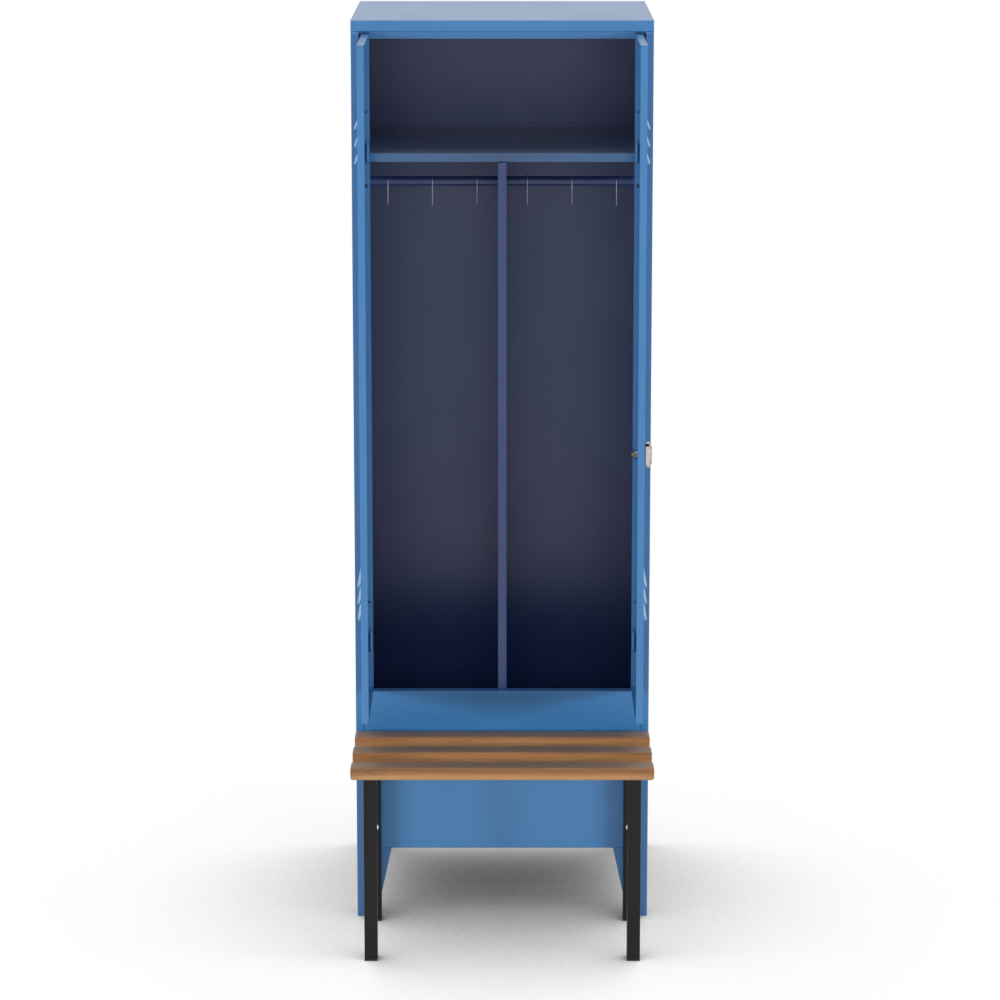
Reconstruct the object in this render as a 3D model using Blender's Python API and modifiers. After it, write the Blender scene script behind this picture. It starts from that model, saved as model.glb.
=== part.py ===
"""Steel changing-room locker: two hinged leaves, a hat shelf, coat rails with hooks, and a slatted bench."""

import math

import bmesh
import bpy
from mathutils import Vector

# Driving dimensions of the whole, in metres
CABINET_WIDTH = 0.600
CABINET_DEPTH = 0.500
CABINET_HEIGHT = 1.850
FOOT_HEIGHT = 0.146
BENCH_REACH = 0.300
SEAT_HEIGHT = 0.405

# Sheet metal
SHEET = 0.001
GAP = 0.0003
FOLD_GAP = 0.0008
FOLD_INNER_RADIUS = 0.0005
FOLD_STEPS = 2
MERGE_DISTANCE = 0.00001
CUT_OVERRUN = 0.004

# Door frame: front posts, header and lower front panel
POST_FACE = 0.0165
REBATE_DEPTH = 0.025
POST_STOP = 0.019
BACK_FLANGE = 0.015
HEADER_FACE = 0.022
HEADER_STOP = 0.016
HEADER_RELIEF = 0.002
ROOF_BACK_FOLD = 0.015
SILL_HEIGHT = 0.481
SILL_FOLD = 0.020
PANEL_FOOT_FOLD = 0.022
FLOOR_FOLD = 0.015

# Hat shelf, partition and coat rails
SHELF_BELOW_ROOF = 0.2665
SHELF_FOLD = 0.018
SHELF_LIP = 0.010
SHELF_BACK_FOLD = 0.012
BAR_ROUNDING = 0.0004
BAR_WIDTH = 0.0175
BAR_THICKNESS = 0.002
LEAF_TO_BAR = 0.0025
RAIL_RADIUS = 0.010
RAIL_WALL = 0.0012
RAIL_BELOW_SHELF = 0.0835
RAIL_SETBACK = 0.250
SOCKET_RADIUS = 0.014
SOCKET_COLLAR_RADIUS = 0.0125
SOCKET_BASE = 0.0016
SOCKET_LENGTH = 0.008

# Coat hooks, three on each rail
HOOKS_PER_RAIL = 3
HOOK_WIRE_RADIUS = 0.0011
HOOK_CLEARANCE = 0.0005
HOOK_FROM_CENTRE = 0.0517
HOOK_FROM_WALL = 0.0634
HOOK_DROP = 0.050
HOOK_CURL_RADIUS = 0.0075
HOOK_CURL_RISE = 0.004
HOOK_BEHIND_ANGLE = math.radians(35)
HOOK_LOOP_STEPS = 10
HOOK_CURL_STEPS = 5

# Door leaves
LEAF_THICKNESS = 0.014
LEAF_TOP_GAP = 0.0045
LEAF_BOTTOM_GAP = 0.003
LEAF_SIDE_GAP = 0.0045
LEAF_MEETING_GAP = 0.003
FREE_LIP = 0.012
LIP_RELIEF = 0.003
PIN_FROM_EDGE = 0.0105
PIN_FROM_FACE = 0.0095

# Louvres pressed out of each leaf in two groups
LOUVRES_PER_GROUP = 3
LOUVRE_FROM_EDGE = 0.042
LOUVRE_FROM_FREE_EDGE = 0.0355
LOUVRE_END = 0.008
LOUVRE_RISE = 0.008
LOUVRE_DROP = 0.012
LOUVRE_SLIT = 0.001
LOUVRE_PITCH = 0.0333
HOOD_ROW_SHARES = (0.3, 0.65)
HOOD_END_SHARES = (0.5,)
UPPER_LOUVRE_BELOW_TOP = 0.1655
LOWER_LOUVRE_ABOVE_BOTTOM = 0.267

# Hinges: a lug on the frame reaches through a slot in the leaf to a pin
UPPER_HINGE_BELOW_TOP = 0.2365
LOWER_HINGE_ABOVE_BOTTOM = 0.1005
SLOT_HEIGHT = 0.044
SLOT_FROM_FACE = 0.0036
LUG_THICKNESS = 0.003
LUG_HEIGHT = 0.039
LUG_EYE_RADIUS = 0.0035
PIN_RADIUS = 0.002
PIN_CLEARANCE = 0.0003
PIN_HEAD_RADIUS = 0.0034
PIN_HEAD = 0.0015
PIN_END = 0.002
KNUCKLE_SHEET = 0.0015
KNUCKLE_BEFORE_PIN = 0.0045
KNUCKLE_AFTER_PIN = 0.009
KNUCKLE_DEPTH = 0.0115
NOTCH_ABOVE_HINGE = 0.0795
NOTCH_WIDTH = 0.006
NOTCH_HEIGHT = 0.005
EDGE_HOLE_BELOW_HINGE = 0.068
EDGE_HOLE_RADIUS = 0.003

# Turn latch on the right leaf
LATCH_HEIGHT = 1.0215
LATCH_FROM_FREE_EDGE = 0.028
HOUSING_WIDTH = 0.030
HOUSING_LENGTH = 0.051
HOUSING_THICKNESS = 0.0102
HOUSING_ROUNDING = 0.0015
POCKET_RADIUS = 0.0125
POCKET_DEPTH = 0.004
SHACKLE_HOLE_RADIUS = 0.0031
SHACKLE_HOLE_FROM_TOP = 0.0055
BARREL_RADIUS = 0.0085
SPINDLE_RADIUS = 0.004
SPINDLE_TIP_RADIUS = 0.0025
KNOB_DISC_RADIUS = 0.012
KNOB_PROUD = 0.001
GRIP_LENGTH = 0.037
GRIP_WIDTH = 0.009
GRIP_HEIGHT = 0.0048
GRIP_ROUNDING = 0.0015
RING_NUT_WIDTH = 0.023
RING_NUT_THICKNESS = 0.004
CAM_THICKNESS = 0.002
CAM_WIDTH = 0.013
CAM_REACH = 0.0265
CAM_NUT_WIDTH = 0.008
CAM_NUT_THICKNESS = 0.003
SPINDLE_PAST_NUT = 0.0006
CAM_TO_BAR = 0.0004

# Feet under the four corners
FOOT_SHEET = 0.002
FOOT_TOP_WIDTH = 0.071
FOOT_FLOOR_WIDTH = 0.040

# Bench
SLAT_COUNT = 3
SLAT_DEPTH = 0.048
SLAT_THICKNESS = 0.0255
SLAT_ROUNDING = 0.005
SLAT_ROUNDING_STEPS = 3
SLAT_TO_CABINET = 0.028
BENCH_TUBE_WIDTH = 0.026
BENCH_TUBE_DEPTH = 0.034
BENCH_BAR_HEIGHT = 0.025
BENCH_TUBE_WALL = 0.002
BENCH_TUBE_ROUNDING = 0.0015
BENCH_LEG_INSET = 0.025
BENCH_FRONT_SETBACK = 0.0185
GLIDE_THICKNESS = 0.003
GLIDE_PLUG = 0.012
BOLT_HEIGHT = 0.202
BOLT_RADIUS = 0.004
BOLT_HEAD_RADIUS = 0.0085
BOLT_HEAD = 0.0045
HEAD_CROWN_SHARE = 0.6
HEAD_RIM_SHARE = 0.5
BOLT_PAST_NUT = 0.002
NUT_WIDTH = 0.013
NUT_THICKNESS = 0.0065

# Facets of round pieces
ROUND_SIDES = 24
SMALL_SIDES = 16
HEX_SIDES = 6

# Places worked out from the sizes above
OVERALL_DEPTH = CABINET_DEPTH + BENCH_REACH
FRONT_Y = BENCH_REACH - OVERALL_DEPTH / 2
BACK_Y = OVERALL_DEPTH / 2
HALF_WIDTH = CABINET_WIDTH / 2
INNER_HALF = HALF_WIDTH - SHEET - GAP
BODY_BOTTOM = FOOT_HEIGHT + GAP
BODY_TOP = CABINET_HEIGHT - SHEET - GAP
HEADER_BOTTOM = CABINET_HEIGHT - HEADER_FACE
STOP_Y = FRONT_Y + REBATE_DEPTH
LAPPED_STOP_Y = STOP_Y - SHEET - FOLD_GAP
BEHIND_STOP_Y = STOP_Y + SHEET + GAP
POST_INNER = HALF_WIDTH - POST_FACE
OPENING_HALF = POST_INNER - POST_STOP
BETWEEN_POSTS = POST_INNER - FOLD_GAP
BACK_PANEL_FACE = BACK_Y - SHEET - GAP
INSIDE_BACK_Y = BACK_PANEL_FACE - SHEET - GAP
FLOOR_BOTTOM = BODY_BOTTOM + SHEET + GAP
LEAF_BOTTOM = SILL_HEIGHT + LEAF_BOTTOM_GAP
LEAF_TOP = HEADER_BOTTOM - LEAF_TOP_GAP
LEAF_WIDTH = POST_INNER - LEAF_SIDE_GAP - LEAF_MEETING_GAP / 2
PIN_X = POST_INNER - LEAF_SIDE_GAP - PIN_FROM_EDGE
PIN_Y = FRONT_Y + PIN_FROM_FACE
LEAF_FACE_X = PIN_X + PIN_FROM_FACE
HINGE_HEIGHTS = {"upper": LEAF_TOP - UPPER_HINGE_BELOW_TOP,
                 "lower": LEAF_BOTTOM + LOWER_HINGE_ABOVE_BOTTOM}
BAR_Y = FRONT_Y + LEAF_THICKNESS + LEAF_TO_BAR
SHELF_HEIGHT = CABINET_HEIGHT - SHELF_BELOW_ROOF
SHELF_UNDERSIDE = SHELF_HEIGHT - SHELF_FOLD
HOOK_PITCH = (INNER_HALF - HOOK_FROM_WALL - HOOK_FROM_CENTRE) / (HOOKS_PER_RAIL - 1)
RAIL_Y = FRONT_Y + RAIL_SETBACK
RAIL_Z = SHELF_HEIGHT - RAIL_BELOW_SHELF
SEAT_UNDERSIDE = SEAT_HEIGHT - SLAT_THICKNESS
BENCH_LEG_X = HALF_WIDTH - BENCH_LEG_INSET - BENCH_TUBE_WIDTH / 2
LATCH_Y = PIN_Y + PIN_FROM_EDGE - LEAF_WIDTH + LATCH_FROM_FREE_EDGE
SIDES = {"left": -1, "right": 1}
# Turns that stand a flat outline up to face along X or along Y
FACING_X = (math.pi / 2, 0, math.pi / 2)
FACING_Y = (math.pi / 2, 0, 0)

BLUE_ENAMEL = ("blue_enamel", (0.080, 0.223, 0.462, 1), 0.42, 0.0)
BLACK_ENAMEL = ("black_enamel", (0.022, 0.022, 0.022, 1), 0.45, 0.0)
OILED_WOOD = ("oiled_wood", (0.340, 0.160, 0.070, 1), 0.50, 0.0)
ZINC_STEEL = ("zinc_steel", (0.560, 0.560, 0.570, 1), 0.30, 1.0)
NICKEL = ("nickel", (0.660, 0.640, 0.610, 1), 0.22, 1.0)
BLACK_PLASTIC = ("black_plastic", (0.018, 0.018, 0.018, 1), 0.55, 0.0)


def clear_scene():
    """Remove whatever the startup file holds."""
    for thing in list(bpy.data.objects):
        bpy.data.objects.remove(thing, do_unlink=True)


def new_collection(name):
    """A collection linked to the scene."""
    collection = bpy.data.collections.new(name)
    bpy.context.scene.collection.children.link(collection)
    return collection


def material(finish):
    """The Principled material of a finish, made once."""
    name, colour, roughness, metallic = finish
    if name in bpy.data.materials:
        return bpy.data.materials[name]
    made = bpy.data.materials.new(name)
    made.use_nodes = True
    shader = made.node_tree.nodes["Principled BSDF"]
    shader.inputs["Base Color"].default_value = colour
    shader.inputs["Roughness"].default_value = roughness
    shader.inputs["Metallic"].default_value = metallic
    return made


def place(name, mesh, finish, at=(0, 0, 0)):
    """Put a mesh into the model as one named sub-part."""
    thing = bpy.data.objects.new(name, mesh)
    thing.location = at
    mesh.materials.append(material(finish))
    PARTS.objects.link(thing)
    return thing


def mesh_from(shape, name):
    """Turn a bmesh into a mesh."""
    mesh = bpy.data.meshes.new(name)
    shape.to_mesh(mesh)
    shape.free()
    return mesh


def bevel(thing, width, steps):
    """Round the piece's edges."""
    rounding = thing.modifiers.new("rounding", "BEVEL")
    rounding.width = width
    rounding.segments = steps
    rounding.limit_method = "ANGLE"
    return thing


def solidify(thing, thickness, side):
    """Give a sheet its thickness on one side of the surface."""
    wall = thing.modifiers.new("sheet", "SOLIDIFY")
    wall.thickness = thickness
    wall.offset = side
    wall.use_even_offset = True
    return thing


def mesh_box(low, high, centre=(0, 0, 0)):
    """The bmesh of a box between two corners, seen from a centre."""
    shape = bmesh.new()
    bmesh.ops.create_cube(shape, size=1)
    size = Vector(high) - Vector(low)
    middle = (Vector(high) + Vector(low)) / 2 - Vector(centre)
    bmesh.ops.scale(shape, vec=size, verts=shape.verts)
    bmesh.ops.translate(shape, vec=middle, verts=shape.verts)
    return shape


def box(name, low, high, finish, at=(0, 0, 0)):
    """A rectangular piece between two world corners, with its origin at a place."""
    return place(name, mesh_from(mesh_box(low, high, at), name), finish, at)


def mesh_rod(start, end, radius, sides):
    """The bmesh of a straight round bar between two points."""
    start, end = Vector(start), Vector(end)
    shape = bmesh.new()
    bmesh.ops.create_cone(shape, cap_ends=True, segments=sides, radius1=radius, radius2=radius,
                          depth=(end - start).length)
    turn = (end - start).to_track_quat("Z", "Y").to_matrix()
    bmesh.ops.rotate(shape, matrix=turn, verts=shape.verts)
    bmesh.ops.translate(shape, vec=(start + end) / 2, verts=shape.verts)
    return shape


def cutter(name, shape):
    """A helper solid that only cuts or joins."""
    thing = bpy.data.objects.new(name, mesh_from(shape, name))
    CUTTERS.objects.link(thing)
    thing.hide_render = True
    thing.display_type = "WIRE"
    return thing


def combine(thing, other, operation):
    """Cut a helper from the piece, or join it to the piece."""
    step = thing.modifiers.new(other.name, "BOOLEAN")
    step.operation = operation
    step.solver = "EXACT"
    step.object = other
    return thing


def cut(thing, name, shape):
    """Cut a bmesh out of the piece."""
    return combine(thing, cutter(name, shape), "DIFFERENCE")


def rounded(corners, radius):
    """The same polyline with each inner corner turned into an arc."""
    points = [Vector(corners[0])]
    for before, corner, after in zip(corners, corners[1:], corners[2:]):
        before, corner, after = Vector(before), Vector(corner), Vector(after)
        arriving, leaving = (corner - before).normalized(), (after - corner).normalized()
        if arriving.dot(leaving) > 1 - MERGE_DISTANCE:
            points.append(corner)
            continue
        centre = corner - arriving * radius + leaving * radius
        for step in range(FOLD_STEPS + 1):
            angle = math.pi / 2 * step / FOLD_STEPS
            points.append(centre + arriving * radius * math.sin(angle) - leaving * radius * math.cos(angle))
    points.append(Vector(corners[-1]))
    return points


def sheet_grid(corners, steps, keep=None):
    """The bmesh of a sheet whose folded section, the corners, is swept through the steps."""
    shape = bmesh.new()
    columns, rows = len(corners) - 1, len(steps) - 1
    bmesh.ops.create_grid(shape, x_segments=columns, y_segments=rows, size=1)
    for vert in shape.verts:
        column = round((vert.co.x + 1) / 2 * columns)
        row = round((vert.co.y + 1) / 2 * rows)
        vert.co = Vector(corners[column]) + Vector(steps[row])
    if keep:
        dropped = [face for face in shape.faces if not keep(face.calc_center_median())]
        bmesh.ops.delete(shape, geom=dropped, context="FACES")
    return shape


def folded(name, corners, steps, finish, side=1, sheet=SHEET, keep=None, at=(0, 0, 0)):
    """A folded sheet-metal piece."""
    shape = sheet_grid(rounded(corners, sheet + FOLD_INNER_RADIUS), steps, keep)
    bmesh.ops.translate(shape, vec=-Vector(at), verts=shape.verts)
    return solidify(place(name, mesh_from(shape, name), finish, at), sheet, side)


def upright(levels):
    """Sweep steps up the Z axis."""
    return [(0, 0, level) for level in levels]


def across(places):
    """Sweep steps along the X axis."""
    return [(place_x, 0, 0) for place_x in places]


def flat_outline(name, outline, depth, finish, holes=(), at=(0, 0, 0), turn=(0, 0, 0), edge=0):
    """A plate cut to an outline, its thickness centred on its plane."""
    curve = bpy.data.curves.new(name, "CURVE")
    curve.dimensions = "2D"
    curve.fill_mode = "BOTH"
    curve.extrude = depth / 2
    for loop in (outline, *holes):
        spline = curve.splines.new("POLY")
        spline.points.add(len(loop) - 1)
        for point, (across_x, up_y) in zip(spline.points, loop):
            point.co = (across_x, up_y, 0, 1)
        spline.use_cyclic_u = True
    curve_object = bpy.data.objects.new(name + "_outline", curve)
    curve_object.rotation_euler = turn
    PARTS.objects.link(curve_object)
    bpy.context.view_layer.update()
    stood_up = curve_object.matrix_world.copy()
    mesh = bpy.data.meshes.new_from_object(curve_object.evaluated_get(bpy.context.evaluated_depsgraph_get()))
    bpy.data.objects.remove(curve_object, do_unlink=True)
    mesh.name = name
    mesh.transform(stood_up)
    shape = bmesh.new()
    shape.from_mesh(mesh)
    bmesh.ops.remove_doubles(shape, verts=shape.verts, dist=MERGE_DISTANCE)
    shape.to_mesh(mesh)
    shape.free()
    mesh.materials.clear()
    thing = place(name, mesh, finish, at)
    return bevel(thing, edge, 1) if edge else thing


def turned(name, profile, finish, at, turn=(0, 0, 0), sides=ROUND_SIDES):
    """A turned piece: radius and height pairs, outer side first from top to bottom, spun about Z."""
    shape = bmesh.new()
    points = [shape.verts.new((radius, 0, height)) for radius, height in profile]
    ring = profile[0][0] > 0 and profile[-1][0] > 0
    pairs = list(zip(points, points[1:])) + ([(points[-1], points[0])] if ring else [])
    for pair in pairs:
        shape.edges.new(pair)
    thing = place(name, mesh_from(shape, name), finish, at)
    thing.rotation_euler = turn
    spin = thing.modifiers.new("turning", "SCREW")
    spin.axis = "Z"
    spin.steps = sides
    spin.render_steps = sides
    spin.use_merge_vertices = True
    spin.merge_threshold = MERGE_DISTANCE
    spin.use_smooth_shade = True
    return thing


def arc(centre, radius, start, end, steps):
    """Points along an arc in a plane."""
    turns = [start + (end - start) * step / steps for step in range(steps + 1)]
    return [(centre[0] + radius * math.cos(turn), centre[1] + radius * math.sin(turn)) for turn in turns]


def circle(centre, radius, sides):
    """Points round a full circle."""
    return arc(centre, radius, 0, 2 * math.pi, sides)[:-1]


def hexagon(width):
    """The outline of a hexagon nut from its width across the flats."""
    return circle((0, 0), width / 2 / math.cos(math.pi / HEX_SIDES), HEX_SIDES)


def stadium(width, length):
    """An upright outline with half-round ends."""
    radius = width / 2
    straight = length / 2 - radius
    half_round = SMALL_SIDES // 2
    return (arc((0, straight), radius, 0, math.pi, half_round)
            + arc((0, -straight), radius, math.pi, 2 * math.pi, half_round))


def side_panels():
    """The two side walls, each folded into the back flange, the front post and its stop."""
    post_top = HEADER_BOTTOM - GAP
    relief_y = FRONT_Y + HEADER_RELIEF

    def keep(centre):
        return centre.z < post_top or (abs(centre.x) > POST_INNER + SHEET and centre.y > relief_y)

    for name, side in SIDES.items():
        section = [(side * (HALF_WIDTH - BACK_FLANGE), BACK_Y, 0), (side * HALF_WIDTH, BACK_Y, 0),
                   (side * HALF_WIDTH, relief_y, 0), (side * HALF_WIDTH, FRONT_Y, 0),
                   (side * POST_INNER, FRONT_Y, 0), (side * POST_INNER, STOP_Y, 0),
                   (side * OPENING_HALF, STOP_Y, 0)]
        levels = upright((BODY_BOTTOM, post_top, BODY_TOP))
        folded(f"side_panel_{name}", section, levels, BLUE_ENAMEL, side=side, keep=keep)


def back_panel():
    """The flat back wall, held inside the side walls' back flanges."""
    box("back_panel", (-INNER_HALF, BACK_PANEL_FACE - SHEET, BODY_BOTTOM),
        (INNER_HALF, BACK_PANEL_FACE, BODY_TOP), BLUE_ENAMEL)


def roof_panel():
    """The roof, folded down in front into the header and its stop, and down behind between the flanges."""
    between_flanges = HALF_WIDTH - BACK_FLANGE - GAP
    section = [(0, BACK_Y, CABINET_HEIGHT - ROOF_BACK_FOLD), (0, BACK_Y, CABINET_HEIGHT),
               (0, FRONT_Y, CABINET_HEIGHT), (0, FRONT_Y, HEADER_BOTTOM),
               (0, LAPPED_STOP_Y, HEADER_BOTTOM), (0, LAPPED_STOP_Y, HEADER_BOTTOM - HEADER_STOP)]
    half_places = sorted({HALF_WIDTH, INNER_HALF, between_flanges, BETWEEN_POSTS})
    places = [-place_x for place_x in reversed(half_places)] + half_places

    def keep(centre):
        if centre.y > 0 and centre.z < CABINET_HEIGHT - MERGE_DISTANCE:
            return abs(centre.x) < between_flanges
        if centre.z > HEADER_BOTTOM + MERGE_DISTANCE:
            return True
        if centre.z < HEADER_BOTTOM - MERGE_DISTANCE:
            return abs(centre.x) < BETWEEN_POSTS
        return abs(centre.x) < INNER_HALF

    folded("roof_panel", section, across(places), BLUE_ENAMEL, side=-1, keep=keep)


def lower_front_panel():
    """The closed front below the leaves: foot fold, face, sill ledge and its drop fold."""
    ledge_back = STOP_Y - FOLD_GAP
    section = [(0, FRONT_Y + PANEL_FOOT_FOLD, BODY_BOTTOM), (0, FRONT_Y, BODY_BOTTOM),
               (0, FRONT_Y, SILL_HEIGHT), (0, ledge_back, SILL_HEIGHT),
               (0, ledge_back, SILL_HEIGHT - SILL_FOLD)]
    panel = folded("lower_front_panel", section, across((-BETWEEN_POSTS, BETWEEN_POSTS)), BLUE_ENAMEL)
    for name, side in SIDES.items():
        hole_x = side * BENCH_LEG_X
        cut(panel, f"panel_bolt_hole_{name}",
            mesh_rod((hole_x, FRONT_Y - CUT_OVERRUN, BOLT_HEIGHT),
                     (hole_x, FRONT_Y + CUT_OVERRUN, BOLT_HEIGHT), BOLT_RADIUS + PIN_CLEARANCE, SMALL_SIDES))


def floor_panel():
    """The cabinet floor, notched round the posts and turned up along the side walls."""
    notch_half = OPENING_HALF - GAP
    section = [(-INNER_HALF, 0, FLOOR_BOTTOM + FLOOR_FOLD), (-INNER_HALF, 0, FLOOR_BOTTOM),
               (-notch_half, 0, FLOOR_BOTTOM), (notch_half, 0, FLOOR_BOTTOM),
               (INNER_HALF, 0, FLOOR_BOTTOM), (INNER_HALF, 0, FLOOR_BOTTOM + FLOOR_FOLD)]
    steps = [(0, FRONT_Y + SHEET + GAP, 0), (0, BEHIND_STOP_Y, 0), (0, INSIDE_BACK_Y, 0)]
    folded("floor_panel", section, steps, BLUE_ENAMEL,
           keep=lambda centre: centre.y > BEHIND_STOP_Y or abs(centre.x) < notch_half)


def hat_shelf():
    """The shelf under the hat compartment, with a deep front fold and a lip."""
    section = [(0, INSIDE_BACK_Y, SHELF_HEIGHT - SHELF_BACK_FOLD), (0, INSIDE_BACK_Y, SHELF_HEIGHT),
               (0, BEHIND_STOP_Y, SHELF_HEIGHT), (0, BEHIND_STOP_Y, SHELF_UNDERSIDE),
               (0, BEHIND_STOP_Y + SHELF_LIP, SHELF_UNDERSIDE)]
    folded("hat_shelf", section, across((-INNER_HALF, INNER_HALF)), BLUE_ENAMEL, side=-1)


def partition():
    """The upright sheet between the two wardrobe halves, and the flat bar along its front edge."""
    bar_top = SHELF_UNDERSIDE - GAP
    bar_bottom = SILL_HEIGHT + GAP
    sheet_bottom = FLOOR_BOTTOM + SHEET + GAP
    sheet_top = SHELF_HEIGHT - SHEET - GAP
    upper_front = BAR_Y + BAR_THICKNESS + GAP
    behind_lip = BEHIND_STOP_Y + SHELF_LIP + GAP
    before_back_fold = INSIDE_BACK_Y - SHEET - GAP
    below_back_fold = SHELF_HEIGHT - SHELF_BACK_FOLD - GAP
    outline = [(STOP_Y, sheet_bottom), (INSIDE_BACK_Y, sheet_bottom), (INSIDE_BACK_Y, below_back_fold),
               (before_back_fold, below_back_fold), (before_back_fold, sheet_top), (behind_lip, sheet_top),
               (behind_lip, bar_top), (upper_front, bar_top), (upper_front, bar_bottom), (STOP_Y, bar_bottom)]
    flat_outline("partition_sheet", outline, SHEET, BLUE_ENAMEL, turn=FACING_X)
    bar = box("partition_bar", (-BAR_WIDTH / 2, BAR_Y, bar_bottom),
              (BAR_WIDTH / 2, BAR_Y + BAR_THICKNESS, bar_top), BLUE_ENAMEL)
    bevel(bar, BAR_ROUNDING, 1)


def coat_rails():
    """A round tube across each wardrobe half, in a flanged socket at either end."""
    inner_end, outer_end = SHEET / 2 + GAP, INNER_HALF
    length = outer_end - inner_end
    bore = RAIL_RADIUS + GAP
    tube = [(RAIL_RADIUS, length / 2), (RAIL_RADIUS, -length / 2),
            (RAIL_RADIUS - RAIL_WALL, -length / 2), (RAIL_RADIUS - RAIL_WALL, length / 2)]
    socket = [(SOCKET_COLLAR_RADIUS, SOCKET_LENGTH), (SOCKET_COLLAR_RADIUS, SOCKET_BASE),
              (SOCKET_RADIUS, SOCKET_BASE), (SOCKET_RADIUS, 0), (bore, 0), (bore, SOCKET_LENGTH)]
    for name, side in SIDES.items():
        turned(f"coat_rail_{name}", tube, BLUE_ENAMEL, (side * (inner_end + outer_end) / 2, RAIL_Y, RAIL_Z),
               (0, math.pi / 2, 0))
        turned(f"rail_socket_{name}_inner", socket, BLUE_ENAMEL, (side * inner_end, RAIL_Y, RAIL_Z),
               (0, side * math.pi / 2, 0))
        turned(f"rail_socket_{name}_outer", socket, BLUE_ENAMEL, (side * outer_end, RAIL_Y, RAIL_Z),
               (0, -side * math.pi / 2, 0))


def coat_hooks():
    """Bent wire hooks that slide on the rails, open at the back and curled up in front."""
    loop_radius = RAIL_RADIUS + HOOK_CLEARANCE + HOOK_WIRE_RADIUS
    curl_centre = (-loop_radius - HOOK_CURL_RADIUS, HOOK_CURL_RADIUS + HOOK_WIRE_RADIUS - HOOK_DROP)
    route = (arc((0, 0), loop_radius, -HOOK_BEHIND_ANGLE, math.pi, HOOK_LOOP_STEPS)
             + arc(curl_centre, HOOK_CURL_RADIUS, 0, -math.pi, HOOK_CURL_STEPS)
             + [(curl_centre[0] - HOOK_CURL_RADIUS, curl_centre[1] + HOOK_CURL_RISE)])
    number = 0
    for side in (-1, 1):
        for order in range(HOOKS_PER_RAIL):
            number += 1
            outward = HOOKS_PER_RAIL - 1 - order if side < 0 else order
            wire = bpy.data.curves.new(f"coat_hook_{number}", "CURVE")
            wire.dimensions = "3D"
            wire.bevel_depth = HOOK_WIRE_RADIUS
            wire.bevel_resolution = 2
            wire.use_fill_caps = True
            spline = wire.splines.new("POLY")
            spline.points.add(len(route) - 1)
            for point, (across_y, up_z) in zip(spline.points, route):
                point.co = (0, across_y, up_z, 1)
            place(wire.name, wire, ZINC_STEEL,
                  (side * (HOOK_FROM_CENTRE + outward * HOOK_PITCH), RAIL_Y, RAIL_Z))


def feet():
    """Four angle feet of folded sheet, each flange tapering to the floor, under a top plate."""
    for depth_name, face_y, inward in (("front", FRONT_Y, 1), ("rear", BACK_Y, -1)):
        for name, side in SIDES.items():
            corner = Vector((side * HALF_WIDTH, face_y, 0))
            along_x, along_y = Vector((-side, 0, 0)), Vector((0, inward, 0))
            section = [corner + along_x * FOOT_TOP_WIDTH, corner, corner + along_y * FOOT_TOP_WIDTH]
            if side * inward < 0:
                section.reverse()
            shape = sheet_grid(rounded(section, FOOT_SHEET + FOLD_INNER_RADIUS), upright((0, FOOT_HEIGHT)))
            for end, along in ((corner + along_x * FOOT_TOP_WIDTH, along_x),
                               (corner + along_y * FOOT_TOP_WIDTH, along_y)):
                for vert in shape.verts:
                    if (vert.co - end).length < MERGE_DISTANCE:
                        vert.co = corner + along * FOOT_FLOOR_WIDTH
            top_row = [vert for vert in shape.verts if vert.co.z > FOOT_HEIGHT / 2]
            start = Vector((section[0][0], section[0][1], FOOT_HEIGHT))
            top_row.sort(key=lambda vert: (vert.co - start).length)
            inner = corner + (along_x + along_y) * FOOT_TOP_WIDTH + Vector((0, 0, FOOT_HEIGHT))
            shape.faces.new(top_row + [shape.verts.new(inner)])
            foot = place(f"foot_{depth_name}_{name}", mesh_from(shape, "foot"), BLUE_ENAMEL)
            solidify(foot, FOOT_SHEET, -1)


def leaf_point(side, from_edge, from_face, height=0):
    """A point of a standing-open leaf, seen from its pin: from its hinge edge, outer face and floor."""
    return Vector((side * (PIN_FROM_FACE - from_face), PIN_FROM_EDGE - from_edge, height))


def leaf_world(side, from_edge, from_face, height=0):
    """The same point in the model's own frame."""
    return leaf_point(side, from_edge, from_face, height) + Vector((side * PIN_X, PIN_Y, 0))


def leaf_box(side, low, high):
    """The bmesh of a box given in a leaf's own distances."""
    one, other = leaf_world(side, *low), leaf_world(side, *high)
    return mesh_box([min(pair) for pair in zip(one, other)], [max(pair) for pair in zip(one, other)])


def louvre_slits():
    """The heights of the slits below the louvres, from each group's top one down."""
    groups = (LEAF_TOP - UPPER_LOUVRE_BELOW_TOP, LEAF_BOTTOM + LOWER_LOUVRE_ABOVE_BOTTOM)
    return [top - LOUVRE_PITCH * number for top in groups for number in range(LOUVRES_PER_GROUP)]


def hood_columns(near, far):
    """Where the louvres need a line of vertices, from a hinge-side end to a free-side end."""
    inward = [LOUVRE_END * share for share in (0, *HOOD_END_SHARES, 1)]
    return [near + step for step in inward] + [far - step for step in reversed(inward)]


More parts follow.
